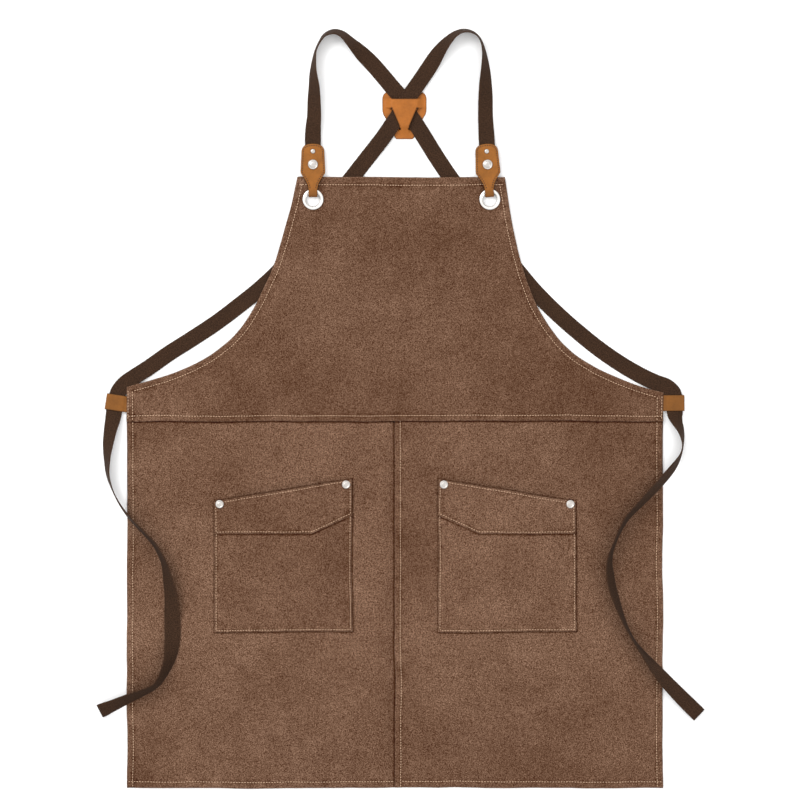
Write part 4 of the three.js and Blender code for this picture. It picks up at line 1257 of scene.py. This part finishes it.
class APRON_OT_pockets(bpy.types.Operator):
    """Sew the two slanted pockets with their facings"""

    bl_idname = "apron.pockets"
    bl_label = "Pockets"

    def execute(self, context):
        cloth = context.scene.apron_cloth
        for side in (LEFT, RIGHT):
            sign = SIGN[side]
            lift = pocket_lift(sign, cloth.bulge / MM)
            canvas = canvas_of(context, f"canvas_pocket_{side}", POCKET_CUT[side])
            outer_x, inner_x = pocket_x(sign, 0), pocket_x(sign, 1)
            knee_x = pocket_x(sign, 1 - KNEE / POCKET_WIDTH)
            outer_foot, inner_foot = (outer_x, POCKET_BOTTOM), (inner_x, POCKET_BOTTOM)
            outer_head, inner_head = (outer_x, POCKET_OUTER), (inner_x, POCKET_INNER)
            low = [(outer_x, FACING_OUTER), (knee_x, FACING_OUTER), (inner_x, FACING_INNER)]
            outer_seam, inner_seam = outer_x - sign * POCKET_SEAM, inner_x + sign * POCKET_SEAM
            us = np.concatenate([[0, 0.006, 0.013, 0.02, 0.03, 0.04],
                                 np.linspace(0.055, 0.945, 50),
                                 [0.96, 0.97, 0.98, 0.987, 0.994, 1]])[::-sign]

            def layer(name, relief, vs, floor, drop, thickness, node):
                """One layer of the pocket, from its lower edge up to the slanted mouth."""
                u, v = np.meshgrid(us, vs)
                x = pocket_x(sign, u)
                low_y = floor(x)
                y = low_y + (pocket_top(u) - drop - low_y) * v
                height, wear_and_shade, rounding = relief(x, y)
                under = height - thickness
                top_z = under + (height - under) * (0.3 + 0.7 * rounding)
                made = shell(name, x, y, top_z, under, canvas, wear_and_shade)
                placed(made, "apron", "canvas", node)
                return made

            foot_y = POCKET_BOTTOM + POCKET_SEAM
            around = [(outer_seam, POCKET_OUTER - 3), (outer_seam, foot_y),
                      (inner_seam, foot_y), (inner_seam, POCKET_INNER - 3)]
            hems = [([outer_foot, inner_foot], 8), ([outer_head, outer_foot], 8),
                    ([inner_head, inner_foot], 8)]
            # The bag gets a painted shadow line just below the facing's lower edge.
            bag_face = Relief(BAG_FACE, hems, [evened(around, 3)[0]], cloth, 11.0 + sign, 0.25,
                              lift, painted_shades=[([(px, py - 0.9) for px, py in low], 1.25, 0.42)])
            vs = stops((0, 0.03, 0.006), (0.03, 0.64, 0.02), (0.64, 0.78, 0.006), (0.78, 1, 0.02))
            bag = layer(f"pocket_{side}", bag_face, vs,
                        lambda x: np.full_like(x, POCKET_BOTTOM), 0.4, BAG_THICK,
                        f"pocket_bag_{side}")

            top_line = [(outer_seam, POCKET_OUTER - 2.4), (inner_seam, POCKET_INNER - 2.4)]
            inside = [(outer_seam, FACING_OUTER + FACING_SEAM),
                      (knee_x, FACING_OUTER + FACING_SEAM),
                      (inner_seam, FACING_INNER + FACING_SEAM)]
            seams = [evened(top_line, 3)[0], evened(inside, 3)[0],
                     [(outer_seam, POCKET_OUTER - 3), (outer_seam, FACING_OUTER + 2)],
                     [(inner_seam, POCKET_INNER - 3), (inner_seam, FACING_INNER + 2)]]
            hems = [([outer_head, inner_head], 4.5), (low, 4.5),
                    ([outer_head, low[0]], 6), ([inner_head, low[2]], 6)]
            face = Relief(FACING_FACE, hems, seams, cloth, 17.0 + sign, 0.22, lift)
            vs = np.concatenate([[0, 0.02, 0.05, 0.09], np.linspace(0.13, 0.87, 16),
                                 [0.91, 0.95, 0.98, 1]])
            knots = sorted([abs(inner_x), abs(knee_x), abs(outer_x)])
            facing = layer(f"pocket_facing_piece_{side}", face, vs,
                           lambda x: np.interp(np.abs(x), knots,
                                               [FACING_INNER, FACING_OUTER, FACING_OUTER]),
                           0.0, CANVAS_THICK, f"pocket_facing_{side}")
            runs = [(around, sampled(bag_face, around), 6.0)]
            runs += [(line, sampled(face, line), 7.0 + k) for k, line in enumerate(seams)]
            stitching(f"pocket_stitching_{side}", runs, thread_of(context), cloth.stitch / MM,
                      "apron", "canvas", thick=0.85)
        return {"FINISHED"}


class APRON_OT_metal(bpy.types.Operator):
    """Turn the grommets, rivets and snap caps, and plate the hidden backs"""

    bl_idname = "apron.metal"
    bl_label = "Grommets, rivets and snaps"

    def execute(self, context):
        trim = context.scene.apron_trim
        nickel = finish("nickel_plate", nickel_finish, "nickel_plate", tuple(trim.nickel))
        # The grommet rings take a lighter copy of the nickel: painted glare.
        glare_nickel = finish("polished_nickel", nickel_finish, "polished_nickel", (0.76, 0.74, 0.71))
        for side in (LEFT, RIGHT):
            ring = turned(f"grommet_ring_{side}", GROMMET[side], FLANGE, glare_nickel,
                          trim.segments + 16)
            placed(ring, "apron", "nickel", f"grommet_{side}")
            for end, from_edge in (("inner", 1), ("outer", 0)):
                in_x, in_y = RIVETS[end]
                share = abs(from_edge - in_x / POCKET_WIDTH)
                place = (pocket_x(SIGN[side], share), pocket_top(from_edge) - in_y)
                made = turned(f"rivet_cap_{side}_{end}", place, RIVET_CAP, nickel, trim.segments)
                placed(made, "apron", "nickel", f"pocket_rivet_{side}_{end}")
            for name, up, cap, node in (("snap_top", SNAP_Y, SNAP_TOP, "snap_cap"),
                                        ("tab_stud", TAB_RIVET_Y, TAB_STUD, "tab_rivet")):
                place = turned_by((0.0, up), TAB_TURN[side], GROMMET[side])
                made = turned(f"{name}_{side}", place, cap, nickel, trim.segments)
                placed(made, f"{side}_tab", "nickel", f"{node}_{side}")
        for name, node in bpy.data.objects.items():
            if "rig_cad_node" in node and not node.hide_render and name.startswith(HIDDEN_METAL):
                node.data.materials.clear()
                node.data.materials.append(nickel)
        return {"FINISHED"}


class APRON_OT_tabs(bpy.types.Operator):
    """Cut the two leather tabs, folded through their grommets, and stitch them"""

    bl_idname = "apron.tabs"
    bl_label = "Leather tabs"

    def execute(self, context):
        leather = finish("tab_leather", leather_finish, "tab_leather",
                         tuple(context.scene.apron_trim.tab), 0.42)
        thread = finish("dark_thread", thread_finish, "dark_thread", (0.06, 0.02, 0.004))
        middle, radius = (HEAD_TOP + TONGUE_UNDER) / 2, (HEAD_TOP - TONGUE_UNDER - LEATHER) / 2
        bend = math.pi * radius
        outline = tab_outline()
        for side in (LEFT, RIGHT):
            def fold(points, side=side):
                x, s, h = points.T
                angle = np.clip(-s / radius, 0, math.pi)
                y = np.where(s >= 0, FOLD + s, np.where(
                    s < -bend, FOLD - s - bend, FOLD - (radius + h) * np.sin(angle)))
                z = middle + np.where(s < -bend, -(radius + h), (radius + h) * np.cos(angle))
                flat = turned_by(np.stack([x, y], 1), TAB_TURN[side], GROMMET[side])
                return np.column_stack([flat, z])
            # Painted shade on the neck, darker towards the fold where the leather bends down.
            tab = leather_plate(f"leather_tab_{side}", outline, [], leather, fold,
                                painted_shade=lambda flat: 0.6 * (1 - smooth(flat[:, 1], -1, 10)))
            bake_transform(tab)
            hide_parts(f"tab_head_{side}", f"tab_tongue_{side}")
            head = outline[(outline[:, 1] > 1) & (outline[:, 0] > 0)]
            edge = inset(head, 2.2)
            edge = edge[(edge[:, 0] > 0.5) & (edge[:, 1] > 6.0)]
            line = np.vstack([edge, edge[::-1] * (-1, 1)])
            line = turned_by(line + (0, FOLD), TAB_TURN[side], GROMMET[side])
            stitching(f"tab_stitching_{side}", [(line, HEAD_TOP + 0.04, 2.0)], thread, 2.9,
                      f"{side}_tab", "tan_leather", thick=1.15, share=0.64, drifting=False)
        return {"FINISHED"}


class APRON_OT_keeper(bpy.types.Operator):
    """Cut the slit leather keeper that holds the crossed straps"""

    bl_idname = "apron.keeper"
    bl_label = "Cross keeper"

    def execute(self, context):
        leather = finish("keeper_hide", leather_finish, "keeper_hide",
                         tuple(context.scene.apron_trim.keeper), 0.34)
        outline = keeper_outline()
        slits = [np.array([(-15.6, 20.1), (15.6, 20.1), (15.6, 21.2), (-15.6, 21.2)])]
        for sign in (-1, 1):
            slits.append(np.array([(sign * 14.6, 6.6), (sign * 5.9, -14.0),
                                   (sign * 6.7, -14.9), (sign * 15.5, 6.2)]))
        dents = [(sign * x, y) for sign in (-1, 1) for x, y in ((15.9, 8.0), (5.7, -17.2))]

        def dented(points, reach):
            return sum(np.exp(-(((points[:, :2] - d) ** 2).sum(1) / reach ** 2)) for d in dents)

        def raise_patch(points):
            """Lifts the middle over both straps: between the slits, up to the top slit."""
            x, y, h = points.T
            across = np.abs(x)
            top, shoulder, foot = 20.6, 9.5, -18.5
            slant = 4.3 + (y + 17.4) * (11.9 / 26.4) + 0.45
            fall = 1 - smooth(-y, 11.0, 26.5)
            inside = (across < slant) & (y > foot) & (y < shoulder)
            upper = (across < 15.0) & (y >= shoulder) & (y < top)
            up = np.where(inside | upper, 1.0, 0.0)
            bridge = (across >= 15.0) & (y > 9.0) & (y < top)
            up = np.where(bridge, 1 - smooth(across, 15.0, 25.0), up)
            up = up * np.where(across < slant, fall, 1.0)
            low = (y <= foot) & (across < 8.0)
            up = np.where(low, fall * (1 - smooth(across, 4.6, 8)), up)
            crown = 0.35 * np.cos(np.clip(x / 22, -1.5, 1.5)) * up
            z = 0.75 + up * 5.5 + crown + h - 0.55 * dented(points, 1.1)
            return np.column_stack([x + KEEPER[0], y + KEEPER[1], z])
        # Painted shade on the dents at the slit tops, standing in for the dark of holes.
        keeper = leather_plate("keeper", outline, slits, leather, raise_patch, voxel=0.36, rub=1.5,
                               painted_shade=lambda flat: np.clip(2.4 * dented(flat, 1.25), 0, 1.45))
        placed(keeper, "apron", "keeper_leather", "cross_keeper")
        return {"FINISHED"}


class APRON_OT_loops(bpy.types.Operator):
    """Roll the two leather side loops round the straps"""

    bl_idname = "apron.loops"
    bl_label = "Side loops"

    def execute(self, context):
        leather = finish("loop_leather", leather_finish, "loop_leather",
                         tuple(context.scene.apron_trim.loop), 0.45)
        low, high, turn = 0.75, 4.15, 1.7
        path = [(-11.5, low), (24.3, low)]
        path += [(24.3 + turn * math.sin(a), low + turn - turn * math.cos(a))
                 for a in np.linspace(0.3, math.pi - 0.3, 7)]
        path += [(24.3, high), (6.4, high), (4.6, 3.9), (3.0, 3.05), (1.6, 2.5), (0, 2.35),
                 (-11.5, 2.35)]
        line, at = evened(np.array(path), 0.4)
        total = at[-1]
        flat = np.array([(0, -10), (total, -10), (total, 10), (0, 10)], float)
        for side in (LEFT, RIGHT):
            sign = SIGN[side]

            def roll(points, side=side, sign=sign):
                s, y, h = points.T
                reach = np.interp(s, at, line[:, 0])
                z = np.interp(s, at, line[:, 1])
                ahead = np.gradient(line, axis=0)
                ahead /= np.linalg.norm(ahead, axis=1)[:, None]
                dx, dz = np.interp(s, at, ahead[:, 0]), np.interp(s, at, ahead[:, 1])
                reach, z = reach + dz * h, z - dx * h
                centre = (sign * SKIRT_HALF, LOOP_Y[side])
                place = turned_by(np.stack([sign * reach, y], 1), LOOP_TURN[side], centre)
                return np.column_stack([place, z])
            loop = leather_plate(f"loop_{side}", flat, [], leather, roll, voxel=0.45)
            if sign < 0:
                loop.data.flip_normals()
            placed(loop, "apron", "tan_leather", f"side_loop_{side}")
        return {"FINISHED"}


class APRON_PT_panel(bpy.types.Panel):
    """Lists the apron's pieces in the sidebar"""

    bl_idname = "APRON_PT_panel"
    bl_label = "Apron"
    bl_space_type = "VIEW_3D"
    bl_region_type = "UI"
    bl_category = "Apron"

    def draw(self, context):
        for group in ("apron_cloth", "apron_trim", "apron_stage"):
            settings = getattr(context.scene, group)
            box = self.layout.box()
            for name in settings.bl_rna.properties.keys():
                if name not in ("rna_type", "name"):
                    box.prop(settings, name)
        for kind in MAKERS:
            self.layout.operator(kind.bl_idname)


MAKERS = (APRON_OT_stage, APRON_OT_straps, APRON_OT_skirt, APRON_OT_bib, APRON_OT_pockets,
          APRON_OT_tabs, APRON_OT_metal, APRON_OT_keeper, APRON_OT_loops)
GROUPS = (("apron_cloth", ApronCloth), ("apron_trim", ApronTrim), ("apron_stage", ApronStage))


def register():
    for name, kind in GROUPS:
        bpy.utils.register_class(kind)
        setattr(bpy.types.Scene, name, bpy.props.PointerProperty(type=kind))
    for kind in (*MAKERS, APRON_PT_panel):
        bpy.utils.register_class(kind)


def unregister():
    for kind in (APRON_PT_panel, *reversed(MAKERS)):
        bpy.utils.unregister_class(kind)
    for name, kind in reversed(GROUPS):
        delattr(bpy.types.Scene, name)
        bpy.utils.unregister_class(kind)


def main():
    register()
    for step in ("stage", "straps", "skirt", "bib", "pockets", "tabs", "metal", "keeper", "loops"):
        getattr(bpy.ops.apron, step)()


if __name__ == "__main__":
    main()
